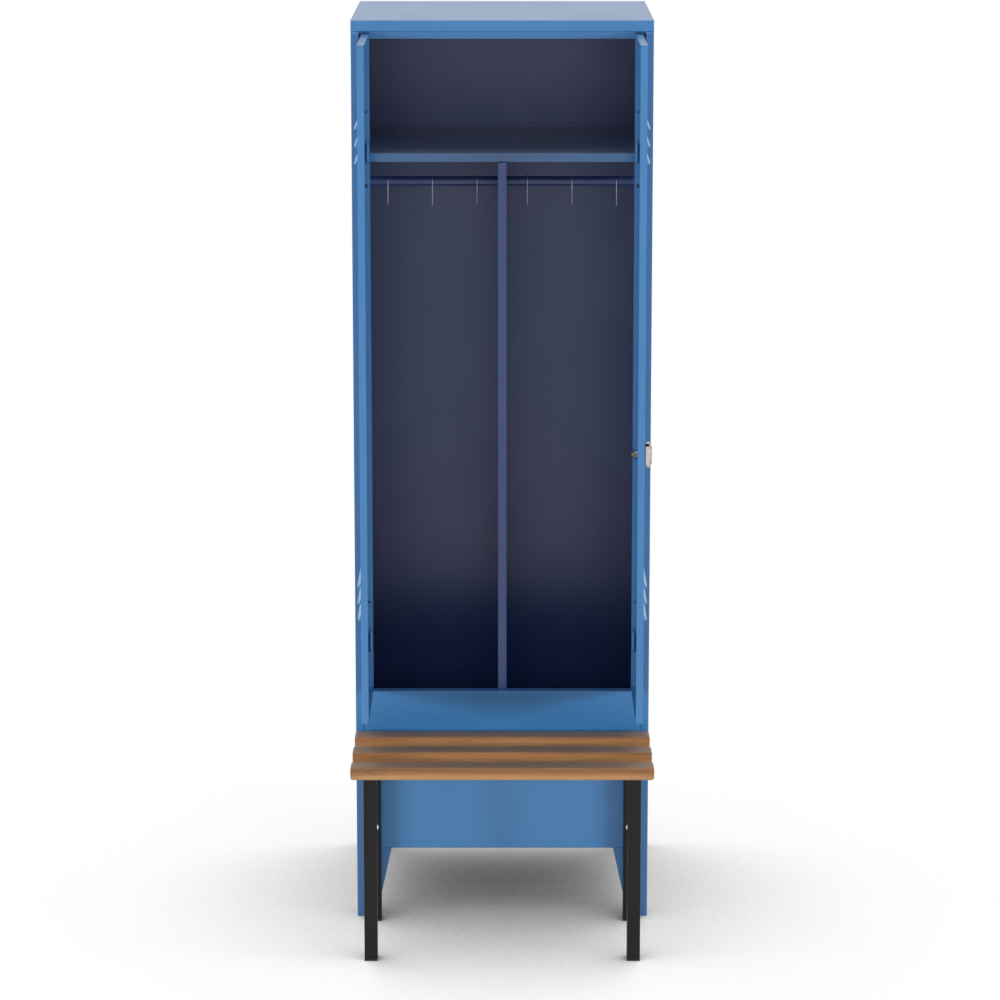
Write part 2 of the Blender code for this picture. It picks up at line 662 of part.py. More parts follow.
def press_louvres(shape, side, near, far):
    """Slit the skin below each louvre and press the sheet above the slit out into a rounded hood."""
    skin_x = leaf_point(side, 0, 0).x

    def inside(vert, low, high):
        edge = PIN_FROM_EDGE - vert.co.y
        return (abs(vert.co.x - skin_x) < MERGE_DISTANCE
                and low - MERGE_DISTANCE < vert.co.z < high + MERGE_DISTANCE
                and near - MERGE_DISTANCE < edge < far + MERGE_DISTANCE)

    for slit in louvre_slits():
        cut_line = [edge for edge in shape.edges if all(inside(vert, slit, slit) for vert in edge.verts)]
        bmesh.ops.split_edges(shape, edges=cut_line)
        hood = [vert for vert in shape.verts if inside(vert, slit, slit + LOUVRE_DROP)]
        for vert in hood:
            edge = PIN_FROM_EDGE - vert.co.y
            along = max(0, min(1, (edge - near) / LOUVRE_END, (far - edge) / LOUVRE_END))
            above = (vert.co.z - slit) / LOUVRE_DROP
            if along < MERGE_DISTANCE:
                continue
            if any(face.calc_center_median().z > slit for face in vert.link_faces):
                rise = math.sin(math.pi / 2 * along) * (1 - math.sin(math.pi / 2 * above))
                vert.co.x += side * LOUVRE_RISE * rise
            else:
                vert.co.z -= LOUVRE_SLIT


def vertex_at(shape, point):
    """The vertex that lies at a point, if the sheet has one there."""
    return next((vert for vert in shape.verts if (vert.co - point).length < MERGE_DISTANCE), None)


def leaf_sheet(side):
    """The bmesh of one leaf: skin, four folds and free lip, with the louvres pressed out."""
    near, far = LOUVRE_FROM_EDGE, LEAF_WIDTH - LOUVRE_FROM_FREE_EDGE
    bends = [leaf_point(side, 0, LEAF_THICKNESS), leaf_point(side, 0, 0)]
    bends += [leaf_point(side, column, 0) for column in hood_columns(near, far)]
    bends += [leaf_point(side, LEAF_WIDTH, 0), leaf_point(side, LEAF_WIDTH, LEAF_THICKNESS),
              leaf_point(side, LEAF_WIDTH - FREE_LIP, LEAF_THICKNESS)]
    section = rounded(bends, SHEET + FOLD_INNER_RADIUS)
    levels = {LEAF_BOTTOM, LEAF_BOTTOM + LIP_RELIEF, LEAF_TOP - LIP_RELIEF, LEAF_TOP}
    for slit in louvre_slits():
        levels |= {slit + LOUVRE_DROP * share for share in (0, *HOOD_ROW_SHARES, 1)}
    lip_x = leaf_point(side, 0, LEAF_THICKNESS).x
    free_y = leaf_point(side, LEAF_WIDTH, 0).y + MERGE_DISTANCE
    lip_end_y = leaf_point(side, LEAF_WIDTH - FREE_LIP, 0).y

    def keep(centre):
        in_lip = abs(centre.x - lip_x) < SHEET + FOLD_INNER_RADIUS and free_y < centre.y < lip_end_y
        return not in_lip or LEAF_BOTTOM + LIP_RELIEF < centre.z < LEAF_TOP - LIP_RELIEF

    shape = sheet_grid(section, upright(sorted(levels)), keep)
    for level in (LEAF_BOTTOM, LEAF_TOP):
        up = Vector((0, 0, level))
        rim = [vertex_at(shape, corner + up) for corner in section]
        rim = [vert for vert in rim if vert]
        rim.append(shape.verts.new(leaf_point(side, LEAF_WIDTH, LEAF_THICKNESS, level)))
        shape.faces.new(rim if level == LEAF_TOP else reversed(rim))
    press_louvres(shape, side, near, far)
    return shape


def door_leaves():
    """The two leaves, standing open, each with its hinge slots and pressed marks in the hinge fold."""
    for name, side in SIDES.items():
        leaf = place(f"door_leaf_{name}", mesh_from(leaf_sheet(side), "leaf"), BLUE_ENAMEL,
                     (side * PIN_X, PIN_Y, 0))
        solidify(leaf, SHEET, side)
        for which, height in HINGE_HEIGHTS.items():
            cut(leaf, f"hinge_slot_{name}_{which}", leaf_box(
                side, (-CUT_OVERRUN, SLOT_FROM_FACE, height - SLOT_HEIGHT / 2),
                (SHEET + CUT_OVERRUN, LEAF_THICKNESS + CUT_OVERRUN, height + SLOT_HEIGHT / 2)))
            notch = height + NOTCH_ABOVE_HINGE
            cut(leaf, f"edge_notch_{name}_{which}", leaf_box(
                side, (-CUT_OVERRUN, SLOT_FROM_FACE, notch - NOTCH_HEIGHT / 2),
                (SHEET + CUT_OVERRUN, SLOT_FROM_FACE + NOTCH_WIDTH, notch + NOTCH_HEIGHT / 2)))
        hole = HINGE_HEIGHTS["upper"] - EDGE_HOLE_BELOW_HINGE
        hole_depth = SLOT_FROM_FACE + EDGE_HOLE_RADIUS
        cut(leaf, f"edge_hole_{name}", mesh_rod(
            leaf_world(side, -CUT_OVERRUN, hole_depth, hole),
            leaf_world(side, SHEET + CUT_OVERRUN, hole_depth, hole), EDGE_HOLE_RADIUS, SMALL_SIDES))
        if side > 0:
            cut(leaf, "latch_hole", mesh_rod(
                (LEAF_FACE_X - SHEET - CUT_OVERRUN, LATCH_Y, LATCH_HEIGHT),
                (LEAF_FACE_X + CUT_OVERRUN, LATCH_Y, LATCH_HEIGHT), BARREL_RADIUS + GAP, ROUND_SIDES))


def hinges():
    """At each hinge a lug on the frame, a pin through its eye, and the leaf's knuckle that holds the pin."""
    eye_hole = circle((0, 0), PIN_RADIUS + PIN_CLEARANCE, SMALL_SIDES)
    half_plate = LUG_THICKNESS / 2
    meeting = math.asin(half_plate / LUG_EYE_RADIUS)
    base = STOP_Y - GAP - PIN_Y
    eye = arc((0, 0), LUG_EYE_RADIUS, math.pi / 2 + meeting, 5 * math.pi / 2 - meeting, SMALL_SIDES)
    lug_outline = [(-half_plate, base)] + eye + [(half_plate, base)]
    tab = LUG_HEIGHT / 2 + GAP + KNUCKLE_SHEET
    pin_profile = [(0, tab + GAP + PIN_HEAD), (PIN_HEAD_RADIUS, tab + GAP + PIN_HEAD),
                   (PIN_HEAD_RADIUS, tab + GAP), (PIN_RADIUS, tab + GAP),
                   (PIN_RADIUS, -tab - PIN_END), (0, -tab - PIN_END)]
    against_skin = SHEET + GAP
    for name, side in SIDES.items():
        for which, height in HINGE_HEIGHTS.items():
            at = Vector((side * PIN_X, PIN_Y, height))
            flat_outline(f"hinge_lug_{name}_{which}", lug_outline, LUG_HEIGHT, BLUE_ENAMEL, (eye_hole,), at)
            section = [leaf_world(side, 0, against_skin + KNUCKLE_DEPTH, height + tab),
                       leaf_world(side, 0, against_skin, height + tab),
                       leaf_world(side, 0, against_skin, height - tab),
                       leaf_world(side, 0, against_skin + KNUCKLE_DEPTH, height - tab)]
            ends = [(0, -(PIN_FROM_EDGE - KNUCKLE_BEFORE_PIN), 0),
                    (0, -(PIN_FROM_EDGE + KNUCKLE_AFTER_PIN), 0)]
            knuckle = folded(f"hinge_knuckle_{name}_{which}", section, ends, BLUE_ENAMEL, side,
                             KNUCKLE_SHEET, at=at)
            reach = Vector((0, 0, tab + CUT_OVERRUN))
            cut(knuckle, f"knuckle_bore_{name}_{which}",
                mesh_rod(at - reach, at + reach, PIN_RADIUS + PIN_CLEARANCE, SMALL_SIDES))
            turned(f"hinge_pin_{name}_{which}", pin_profile, BLUE_ENAMEL, at, sides=SMALL_SIDES)


def latch():
    """The turn latch: housing with a barrel through the leaf, ring nut, knob on its spindle, cam and nut."""
    centre = Vector((0, LATCH_Y, LATCH_HEIGHT))
    housing_back = LEAF_FACE_X + GAP
    housing_face = housing_back + HOUSING_THICKNESS
    pocket_floor = housing_face - POCKET_DEPTH
    cam_outer = LEAF_FACE_X - LEAF_THICKNESS - LEAF_TO_BAR - BAR_THICKNESS - CAM_TO_BAR
    cam_inner = cam_outer - CAM_THICKNESS
    nut_outer = cam_inner - GAP
    nut_inner = nut_outer - CAM_NUT_THICKNESS
    barrel_end = cam_outer + GAP + GAP

    def along(start_x, end_x, radius, sides=ROUND_SIDES):
        return mesh_rod(centre + Vector((start_x, 0, 0)), centre + Vector((end_x, 0, 0)), radius, sides)

    housing = flat_outline("latch_housing", stadium(HOUSING_WIDTH, HOUSING_LENGTH), HOUSING_THICKNESS,
                           NICKEL, at=centre + Vector(((housing_back + housing_face) / 2, 0, 0)),
                           turn=FACING_X, edge=HOUSING_ROUNDING)
    combine(housing, cutter("latch_barrel", along(barrel_end, pocket_floor - SHEET, BARREL_RADIUS)), "UNION")
    cut(housing, "latch_pocket", along(pocket_floor, housing_face + CUT_OVERRUN, POCKET_RADIUS))
    cut(housing, "latch_bore", along(barrel_end - CUT_OVERRUN, housing_face, SPINDLE_RADIUS + GAP))
    hole_z = LATCH_HEIGHT + HOUSING_LENGTH / 2 - SHACKLE_HOLE_FROM_TOP
    hole_x = (housing_back + housing_face) / 2
    cut(housing, "latch_shackle_hole",
        mesh_rod((hole_x, LATCH_Y - HOUSING_WIDTH, hole_z), (hole_x, LATCH_Y + HOUSING_WIDTH, hole_z),
                 SHACKLE_HOLE_RADIUS, SMALL_SIDES))

    ring_outer = LEAF_FACE_X - SHEET - GAP
    flat_outline("latch_ring_nut", hexagon(RING_NUT_WIDTH), RING_NUT_THICKNESS, ZINC_STEEL,
                 (circle((0, 0), BARREL_RADIUS + GAP, ROUND_SIDES),),
                 centre + Vector((ring_outer - RING_NUT_THICKNESS / 2, 0, 0)), FACING_X)

    disc_face = housing_face + KNOB_PROUD
    disc_back = pocket_floor + GAP
    heights = [(0, disc_face), (KNOB_DISC_RADIUS, disc_face), (KNOB_DISC_RADIUS, disc_back),
               (SPINDLE_RADIUS, disc_back), (SPINDLE_RADIUS, cam_outer + GAP),
               (SPINDLE_TIP_RADIUS, cam_outer + GAP), (SPINDLE_TIP_RADIUS, nut_inner - SPINDLE_PAST_NUT),
               (0, nut_inner - SPINDLE_PAST_NUT)]
    knob_x = disc_face
    knob = turned("latch_knob", [(radius, height - knob_x) for radius, height in heights], NICKEL,
                  centre + Vector((knob_x, 0, 0)), (0, math.pi / 2, 0))
    grip_low = (housing_face + GAP, LATCH_Y - GRIP_WIDTH / 2, LATCH_HEIGHT - GRIP_LENGTH / 2)
    grip_high = (housing_face + GRIP_HEIGHT, LATCH_Y + GRIP_WIDTH / 2, LATCH_HEIGHT + GRIP_LENGTH / 2)
    grip = cutter("latch_grip", mesh_box(grip_low, grip_high))
    combine(knob, bevel(grip, GRIP_ROUNDING, 2), "UNION")

    half_cam = CAM_WIDTH / 2
    round_end = arc((0, 0), half_cam, math.pi / 2, 3 * math.pi / 2, SMALL_SIDES // 2)
    cam_outline = round_end + [(CAM_REACH, -half_cam), (CAM_REACH, half_cam)]
    tip_hole = circle((0, 0), SPINDLE_TIP_RADIUS + GAP, SMALL_SIDES)
    flat_outline("latch_cam", cam_outline, CAM_THICKNESS, ZINC_STEEL, (tip_hole,),
                 centre + Vector(((cam_outer + cam_inner) / 2, 0, 0)), FACING_X)
    flat_outline("latch_cam_nut", hexagon(CAM_NUT_WIDTH), CAM_NUT_THICKNESS,
                 ZINC_STEEL, (tip_hole,), centre + Vector(((nut_outer + nut_inner) / 2, 0, 0)), FACING_X)


def bench_outline(inset, floor):
    """The outline of a bench frame seen from the side, drawn in by an inset and open below at the floor."""
    front = FRONT_Y - BENCH_REACH + BENCH_FRONT_SETBACK + inset
    rear = FRONT_Y - GAP - inset
    top = SEAT_UNDERSIDE - GAP - inset
    front_inner = front + BENCH_TUBE_DEPTH - 2 * inset
    rear_inner = rear - BENCH_TUBE_DEPTH + 2 * inset
    bar_bottom = top - BENCH_BAR_HEIGHT + 2 * inset
    return [(front, floor), (front, top), (rear, top), (rear, floor), (rear_inner, floor),
            (rear_inner, bar_bottom), (front_inner, bar_bottom), (front_inner, floor)]


def bench_frames():
    """Two welded tube frames, open below, with plastic glides and bolted to the lower front panel."""
    tube_bottom = GLIDE_THICKNESS + GAP
    rear_leg_front = FRONT_Y - GAP - BENCH_TUBE_DEPTH
    front_leg_front = FRONT_Y - BENCH_REACH + BENCH_FRONT_SETBACK
    half_bore = BENCH_TUBE_WIDTH / 2 - BENCH_TUBE_WALL
    bolt_end = NUT_THICKNESS + SHEET + BOLT_PAST_NUT + BENCH_TUBE_DEPTH + 4 * GAP
    bolt_profile = [(0, BOLT_HEAD), (BOLT_HEAD_RADIUS * HEAD_CROWN_SHARE, BOLT_HEAD),
                    (BOLT_HEAD_RADIUS, BOLT_HEAD * HEAD_RIM_SHARE), (BOLT_HEAD_RADIUS, 0), (BOLT_RADIUS, 0),
                    (BOLT_RADIUS, -bolt_end), (0, -bolt_end)]
    bolt_hole = circle((0, 0), BOLT_RADIUS + PIN_CLEARANCE, SMALL_SIDES)
    for name, side in SIDES.items():
        leg_x = side * BENCH_LEG_X
        frame = flat_outline(f"bench_frame_{name}", bench_outline(0, tube_bottom), BENCH_TUBE_WIDTH,
                             BLACK_ENAMEL, at=(leg_x, 0, 0), turn=FACING_X, edge=BENCH_TUBE_ROUNDING)
        hollow = flat_outline(f"bench_hollow_{name}", bench_outline(BENCH_TUBE_WALL, -CUT_OVERRUN),
                              2 * half_bore, BLACK_ENAMEL, at=(leg_x, 0, 0), turn=FACING_X)
        PARTS.objects.unlink(hollow)
        CUTTERS.objects.link(hollow)
        hollow.hide_render = True
        hollow.display_type = "WIRE"
        combine(frame, hollow, "DIFFERENCE")
        cut(frame, f"frame_bolt_hole_{name}", mesh_rod(
            (leg_x, rear_leg_front - CUT_OVERRUN, BOLT_HEIGHT), (leg_x, FRONT_Y + CUT_OVERRUN, BOLT_HEIGHT),
            BOLT_RADIUS + PIN_CLEARANCE, SMALL_SIDES))
        turned(f"bench_bolt_{name}", bolt_profile, ZINC_STEEL, (leg_x, rear_leg_front - GAP, BOLT_HEIGHT),
               FACING_Y)
        nut_y = FRONT_Y + SHEET + GAP + NUT_THICKNESS / 2
        flat_outline(f"bench_nut_{name}", hexagon(NUT_WIDTH), NUT_THICKNESS, ZINC_STEEL, (bolt_hole,),
                     (leg_x, nut_y, BOLT_HEIGHT), FACING_Y)
        for end, leg_front in (("front", front_leg_front), ("rear", rear_leg_front)):
            glide(f"bench_glide_{end}_{name}", leg_x, leg_front, half_bore)


def glide(name, leg_x, leg_front, half_bore):
    """A plastic foot under a leg, with a plug up inside the tube."""
    low = Vector((leg_x - BENCH_TUBE_WIDTH / 2, leg_front, 0))
    high = Vector((leg_x + BENCH_TUBE_WIDTH / 2, leg_front + BENCH_TUBE_DEPTH, GLIDE_THICKNESS))
    shape = mesh_box(low, high)
    top = max(shape.faces, key=lambda face: face.calc_center_median().z)
    bmesh.ops.inset_individual(shape, faces=[top], thickness=BENCH_TUBE_WALL + GAP, use_even_offset=True)
    plug = bmesh.ops.extrude_discrete_faces(shape, faces=[top])["faces"]
    bmesh.ops.translate(shape, vec=(0, 0, GLIDE_PLUG), verts=plug[0].verts)
    place(name, mesh_from(shape, name), BLACK_PLASTIC)


def slats():
    """The oiled wooden slats that lie across the bench frames."""
    first_front = FRONT_Y - BENCH_REACH
    last_front = FRONT_Y - SLAT_TO_CABINET - SLAT_DEPTH
    for number in range(SLAT_COUNT):
        front = first_front + (last_front - first_front) * number / (SLAT_COUNT - 1)
        slat = box(f"bench_slat_{number + 1}", (-HALF_WIDTH, front, SEAT_UNDERSIDE),
                   (HALF_WIDTH, front + SLAT_DEPTH, SEAT_HEIGHT), OILED_WOOD)
        bevel(slat, SLAT_ROUNDING, SLAT_ROUNDING_STEPS)


def build():
    """Make every piece of the locker."""
    side_panels()
    back_panel()
    roof_panel()
    lower_front_panel()
    floor_panel()
    hat_shelf()
    partition()
    coat_rails()
    coat_hooks()
    feet()
    door_leaves()
    hinges()
    latch()
    bench_frames()
    slats()


clear_scene()
PARTS = new_collection("locker_with_bench")
CUTTERS = new_collection("cutters")
build()
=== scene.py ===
"""Changing-room locker with bench: its enamel, oiled wood and plated metal, and its finer pieces.

Each piece or group of like pieces is an operator, and its sizes and colours are properties of the scene.
"""

import math

import bmesh
import bpy
from bpy.props import FloatProperty, FloatVectorProperty, IntProperty, PointerProperty
from mathutils import Euler, Matrix, Vector


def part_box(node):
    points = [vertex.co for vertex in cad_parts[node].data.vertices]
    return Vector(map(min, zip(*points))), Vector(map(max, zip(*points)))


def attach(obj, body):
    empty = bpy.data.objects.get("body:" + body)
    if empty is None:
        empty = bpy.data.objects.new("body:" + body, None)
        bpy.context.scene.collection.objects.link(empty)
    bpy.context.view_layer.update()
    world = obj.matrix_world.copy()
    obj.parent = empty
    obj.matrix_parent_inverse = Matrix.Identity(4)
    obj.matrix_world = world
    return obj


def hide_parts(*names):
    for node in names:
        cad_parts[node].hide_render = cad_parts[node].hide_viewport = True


bl_info = {
    "name": "Locker with Bench",
    "version": (1, 0, 0),
    "blender": (4, 5, 0),
    "location": "View3D > Sidebar > Locker",
    "description": "Dresses a steel locker with a slatted bench",
    "category": "Object",
}

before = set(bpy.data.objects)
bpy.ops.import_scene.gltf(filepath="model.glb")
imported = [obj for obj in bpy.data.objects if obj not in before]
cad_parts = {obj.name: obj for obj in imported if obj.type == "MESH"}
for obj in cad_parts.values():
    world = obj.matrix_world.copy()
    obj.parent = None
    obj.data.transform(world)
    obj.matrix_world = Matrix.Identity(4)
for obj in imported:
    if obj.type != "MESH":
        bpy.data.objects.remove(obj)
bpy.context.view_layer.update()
SIDES = {"left": -1, "right": 1}
HINGES = ("upper", "lower")
WELD_DISTANCE = 0.00001
FLAT_MARGIN = 0.0009  # sheet kept flat round a pressed form
SHARP_ANGLE = math.radians(32)  # faces that meet at more than this keep a hard edge
PLATING_RELIEF = 0.00001
GRAIN_RELIEF = 0.00012
QUARTER = math.pi / 2
TOP_TO_RIGHT = (0, QUARTER, 0)  # lays a turned piece along X
TOP_TO_FRONT = (QUARTER, 0, 0)  # lays a piece back so that its top faces the front
STOOD_EDGEWISE = (QUARTER, 0, QUARTER)  # stands a flat outline up in the plane of Y and Z

# How many swellings each fine pattern of a finish has to the metre.
CLOUDS = 7.0
SPECKS = 900.0
BRUSHED_LINES = 600.0
FILM_PATCHES = 60.0
GRAIN_BANDS = 45.0
PORES = 1700.0

WHITE = (1, 1, 1, 1)
BLACK = (0, 0, 0, 1)
DUST = (0.55, 0.54, 0.52, 1)
METAL_FILM = (0.30, 0.29, 0.27, 1)
# Painted shade along the upper edge of the slats' fronts.
PAINTED_EDGE_SHADE = (0.030, 0.012, 0.005, 1)
PORE_TINT = (0.045, 0.016, 0.006, 1)


def cad_box(node):
    """The lowest corner, the highest corner and the middle of a CAD node's box."""
    low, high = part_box(node)
    return low, high, (low + high) / 2


def distance(name, default, description, least=0.0001):
    """A length in metres that a user may change."""
    return FloatProperty(name=name, description=description, subtype="DISTANCE", min=least,
                         default=default)


def tint(name, default, description):
    """A colour that a user may change."""
    return FloatVectorProperty(name=name, description=description, subtype="COLOR", size=4, min=0, max=1,
                               default=(*default, 1))


def amount(name, default, description, most=100000.0, subtype="NONE"):
    """A share, an angle, a power or another number that a user may change."""
    return FloatProperty(name=name, description=description, subtype=subtype, min=0, max=most,
                         default=default)


class EnamelSettings(bpy.types.PropertyGroup):
    """Colours and surface of the baked enamel."""

    blue: tint("Blue", (0.034, 0.149, 0.342), "Enamel of cabinet and leaves")
    # Inner, partition and shelf blue are darker copies of the blue: painted shade for the shaded inside of
    # the wardrobe.
    inner: tint("Shaded inner blue", (0.055, 0.090, 0.277), "Thinner enamel inside the wardrobe")
    partition: tint("Shaded partition blue", (0.037, 0.076, 0.213), "Enamel of the partition")
    shelf: tint("Shaded shelf blue", (0.028, 0.122, 0.290), "Enamel of the hat shelf")
    black: tint("Black", (0.005, 0.005, 0.005), "Enamel of the bench frames")
    roughness: amount("Roughness", 0.32, "Gloss of the enamel", 1)
    shelf_roughness: amount("Shelf roughness", 0.14, "Gloss of the hat shelf", 1)
    peel_size: distance("Peel size", 0.0065, "Width of the enamel's fine ripples")
    peel_depth: distance("Peel depth", 0.00004, "Height of the enamel's fine ripples", 0)


class WoodSettings(bpy.types.PropertyGroup):
    """Colours and grain of the oiled slats."""

    light: tint("Light grain", (0.310, 0.142, 0.050), "Wood between the dark streaks")
    dark: tint("Dark grain", (0.140, 0.056, 0.019), "The streaks")
    # Painted light from below: the fronts of the slats are paler along their lower edge.
    painted_underlight: tint("Painted underlight", (0.390, 0.215, 0.090), "Paler wood along the lower edge")
    worn: tint("Worn wood", (0.200, 0.130, 0.080), "Greyed wood where people sit")
    streak_width: distance("Streak width", 0.0050, "Width of a streak across the grain")
    rounding: distance("Rounding", 0.005, "Radius of the slats' long edges")


class MetalSettings(bpy.types.PropertyGroup):
    """Colours of the plated metal and the plastic."""

    zinc: tint("Zinc", (0.400, 0.400, 0.410), "Nuts and slat screws of the bench")
    wire: tint("Wire", (0.920, 0.940, 0.980), "Bright wire of the hooks, and the bench bolts")
    aged: tint("Aged zinc", (0.150, 0.132, 0.100), "Dull cam, barrel and nuts of the latch")
    nickel: tint("Nickel", (0.600, 0.565, 0.520), "Latch housing and knob")
    # Besides the glides, this black plastic makes the plug behind each leaf's round hole and the lining of
    # the padlock hole, both painted shade in holes.
    plastic: tint("Plastic", (0.018, 0.018, 0.018), "Glides, padlock bush and the leaves' buffers")


class LeafSettings(bpy.types.PropertyGroup):
    """Sizes of the folded leaves and their pressed louvres."""

    thickness: distance("Thickness", 0.014, "Depth of a leaf's folds")
    sheet: distance("Sheet", 0.001, "Thickness of the sheet")
    fold_radius: distance("Fold radius", 0.0015, "Outer radius of the folds")
    fold_steps: IntProperty(name="Fold steps", description="Facets round a fold", min=1, default=4)
    lip: distance("Lip", 0.012, "Width of the free edge's lip")
    louvres: IntProperty(name="Louvres", description="Louvres in each group", min=1, default=3)
    louvre_pitch: distance("Louvre pitch", 0.0333, "Height from louvre to louvre")
    louvre_rise: distance("Louvre rise", 0.0086, "How far a louvre stands out")
    louvre_drop: distance("Louvre drop", 0.020, "Height of a louvre's hood")
    louvre_slit: distance("Louvre slit", 0.001, "Sheet turned down under a hood")
    louvre_cap: distance("Louvre cap", 0.0014, "Length of a hood's steep end")
    louvre_cap_rise: amount("Louvre cap rise", 0.64, "Share of the rise in the steep end", 1)
    louvre_swell: distance("Louvre swell", 0.026, "Length over which a hood swells to its rise")
    curve_ends: amount("Curve at the ends", 1.40, "How late a hood rises at its ends")
    curve_middle: amount("Curve in the middle", 1.05, "How late a hood rises in its middle")
    louvre_near: distance("Louvre start", 0.042, "Hinge edge to the louvres")
    louvre_far: distance("Louvre stop", 0.0355, "Free edge to the louvres")
    upper_louvre: distance("Upper louvre", 0.1655, "Leaf's top to the first slit")
    lower_louvre: distance("Lower louvre", 0.267, "Leaf's bottom to the lower group's first slit")
    slot_height: distance("Slot height", 0.044, "Height of a hinge slot")
    slot_start: distance("Slot start", 0.0036, "Leaf's face to a hinge slot")
    notch_above: distance("Notch above", 0.0795, "Hinge to the small notch over it")
    notch_width: distance("Notch width", 0.006, "Width of the small notch")
    notch_height: distance("Notch height", 0.005, "Height of the small notch")
    hole_below: distance("Hole below", 0.068, "Upper hinge to the round hole under it")
    hole_radius: distance("Hole radius", 0.003, "Radius of the round hole")
    # The black plug behind the round hole stands for the shade in it: painted shade.
    shade_plug_width: distance("Buffer width", 0.0046, "Width of the buffer behind the round hole")
    shade_plug_height: distance("Buffer height", 0.0082, "Height of the buffer behind the round hole")


class HookSettings(bpy.types.PropertyGroup):
    """Sizes of the bent wire hooks and the rails they slide on."""

    wire: distance("Wire", 0.0011, "Radius of the wire")
    clearance: distance("Clearance", 0.0005, "Gap from wire to rail")
    drop: distance("Drop", 0.050, "Rail's axis to the curl's lowest point")
    curl: distance("Curl", 0.0075, "Radius of the curl")
    tip: distance("Tip", 0.004, "Straight end above the curl")
    behind: amount("Behind", math.radians(35), "How far the wire reaches down behind the rail", math.pi,
                   "ANGLE")
    rail_wall: distance("Rail wall", 0.0012, "Wall of the rail's tube")


class LatchSettings(bpy.types.PropertyGroup):
    """Sizes of the turn latch."""

    rounding: distance("Rounding", 0.0026, "Radius of the housing's edge")
    pocket_radius: distance("Pocket radius", 0.0125, "Radius of the knob's pocket")
    pocket_depth: distance("Pocket depth", 0.004, "Depth of the knob's pocket")
    barrel_radius: distance("Barrel radius", 0.0085, "Radius of the threaded barrel")
    # The black lining of the padlock hole is painted shade in the hole.
    shade_bush_wall: distance("Bush wall", 0.0011, "Wall of the bush round the padlock hole")
    shade_bush_width: distance("Bush width", 0.0084, "Width of the padlock hole's black bush")
    shade_bush_height: distance("Bush height", 0.0054, "Height of the padlock hole's black bush")
    shade_bush_proud: distance("Bush proud", 0.0003, "How far the bush stands out of the housing")
    shackle_below: distance("Shackle below", 0.0044, "Housing's top to the padlock hole")
    disc_radius: distance("Disc radius", 0.012, "Radius of the knob's disc")
    spindle_radius: distance("Spindle radius", 0.004, "Radius of the knob's spindle")
    grip_width: distance("Grip width", 0.009, "Width of the knob's grip")
    grip_length: distance("Grip length", 0.037, "Length of the knob's grip")


class BenchSettings(bpy.types.PropertyGroup):
    """Sizes of the bench's tube frames."""

    leg_depth: distance("Leg depth", 0.034, "Depth of a leg from front to back")
    bar_height: distance("Bar height", 0.025, "Height of the bar under the slats")
    rounding: distance("Rounding", 0.0022, "Radius of the tubes' edges")
    weld: distance("Weld", 0.0016, "Radius of a weld bead")


class StageSettings(bpy.types.PropertyGroup):
    """Floor, lamps and camera."""

    floor: tint("Floor", (1, 1, 1), "Colour of the floor")
    openness: amount("Openness", 1.28, "How soon the floor is white beside the object")
    shadow_depth: amount("Shadow depth", 1.30, "How quickly the shadow darkens inward")
    bounce: tint("Bounce", (0.66, 0.66, 0.66), "What the floor gives back to the object")
    ambient: amount("Ambient", 0.10, "Even light from all round")
    side_power: amount("Side lamps", 2920, "Power of each lamp beside the front", subtype="POWER")
    overhead: amount("Overhead lamp", 2.0, "Strength of the light from above")
    front_power: amount("Front lamp", 42, "Power of the weak lamp before the opening", subtype="POWER")
    back_power: amount("Back lamps", 120, "Power of each lamp beside the back", subtype="POWER")
    camera_distance: distance("Camera distance", 7.3367, "Camera in front of the frame's origin")
    camera_height: distance("Camera height", 2.4390, "Camera above the floor")
    camera_pitch: amount("Camera pitch", 0.19558, "How far the camera looks down", QUARTER, "ANGLE")
    lens: amount("Lens", 131.5, "Focal length in millimetres")


class LockerSettings(bpy.types.PropertyGroup):
    """All settings of the locker."""

    enamel: PointerProperty(type=EnamelSettings, name="Enamel", description="Baked enamel")
    wood: PointerProperty(type=WoodSettings, name="Wood", description="Oiled slats")
    metal: PointerProperty(type=MetalSettings, name="Metal", description="Plated metal and plastic")
    leaf: PointerProperty(type=LeafSettings, name="Leaf", description="Folded leaves")
    hook: PointerProperty(type=HookSettings, name="Hook", description="Wire hooks and rails")
    latch: PointerProperty(type=LatchSettings, name="Latch", description="Turn latch")
    bench: PointerProperty(type=BenchSettings, name="Bench", description="Tube frames")
    stage: PointerProperty(type=StageSettings, name="Stage", description="Floor, lamps and camera")


def new_group(name, inputs):
    """A shader node group with its named inputs, which puts out a colour, a roughness and a height."""
    group = bpy.data.node_groups.new(name, "ShaderNodeTree")
    for label, default in inputs.items():
        kind = "Float" if isinstance(default, float) else {3: "Vector", 4: "Color"}[len(default)]
        socket = group.interface.new_socket(name=label, in_out="INPUT", socket_type=f"NodeSocket{kind}")
        socket.default_value = default
    for label, kind in (("Colour", "Color"), ("Roughness", "Float"), ("Height", "Float")):
        group.interface.new_socket(name=label, in_out="OUTPUT", socket_type=f"NodeSocket{kind}")
    return group, group.nodes.new("NodeGroupInput").outputs


def put_out(group, colour, roughness, height):
    """Link a group's three results to its outputs."""
    results = group.nodes.new("NodeGroupOutput").inputs
    for label, value in (("Colour", colour), ("Roughness", roughness), ("Height", height)):
        group.links.new(value, results[label])


def add(tree, kind, inputs=None, **settings):
    """A shader node with its settings, and its inputs set from values or linked from sockets."""
    made = tree.nodes.new(f"ShaderNode{kind}")
    for label, value in settings.items():
        setattr(made, label, value)
    for label, value in (inputs or {}).items():
        socket = made.inputs[label]
        if isinstance(value, bpy.types.NodeSocket):
            tree.links.new(value, socket)
        else:
            socket.default_value = value
    return made


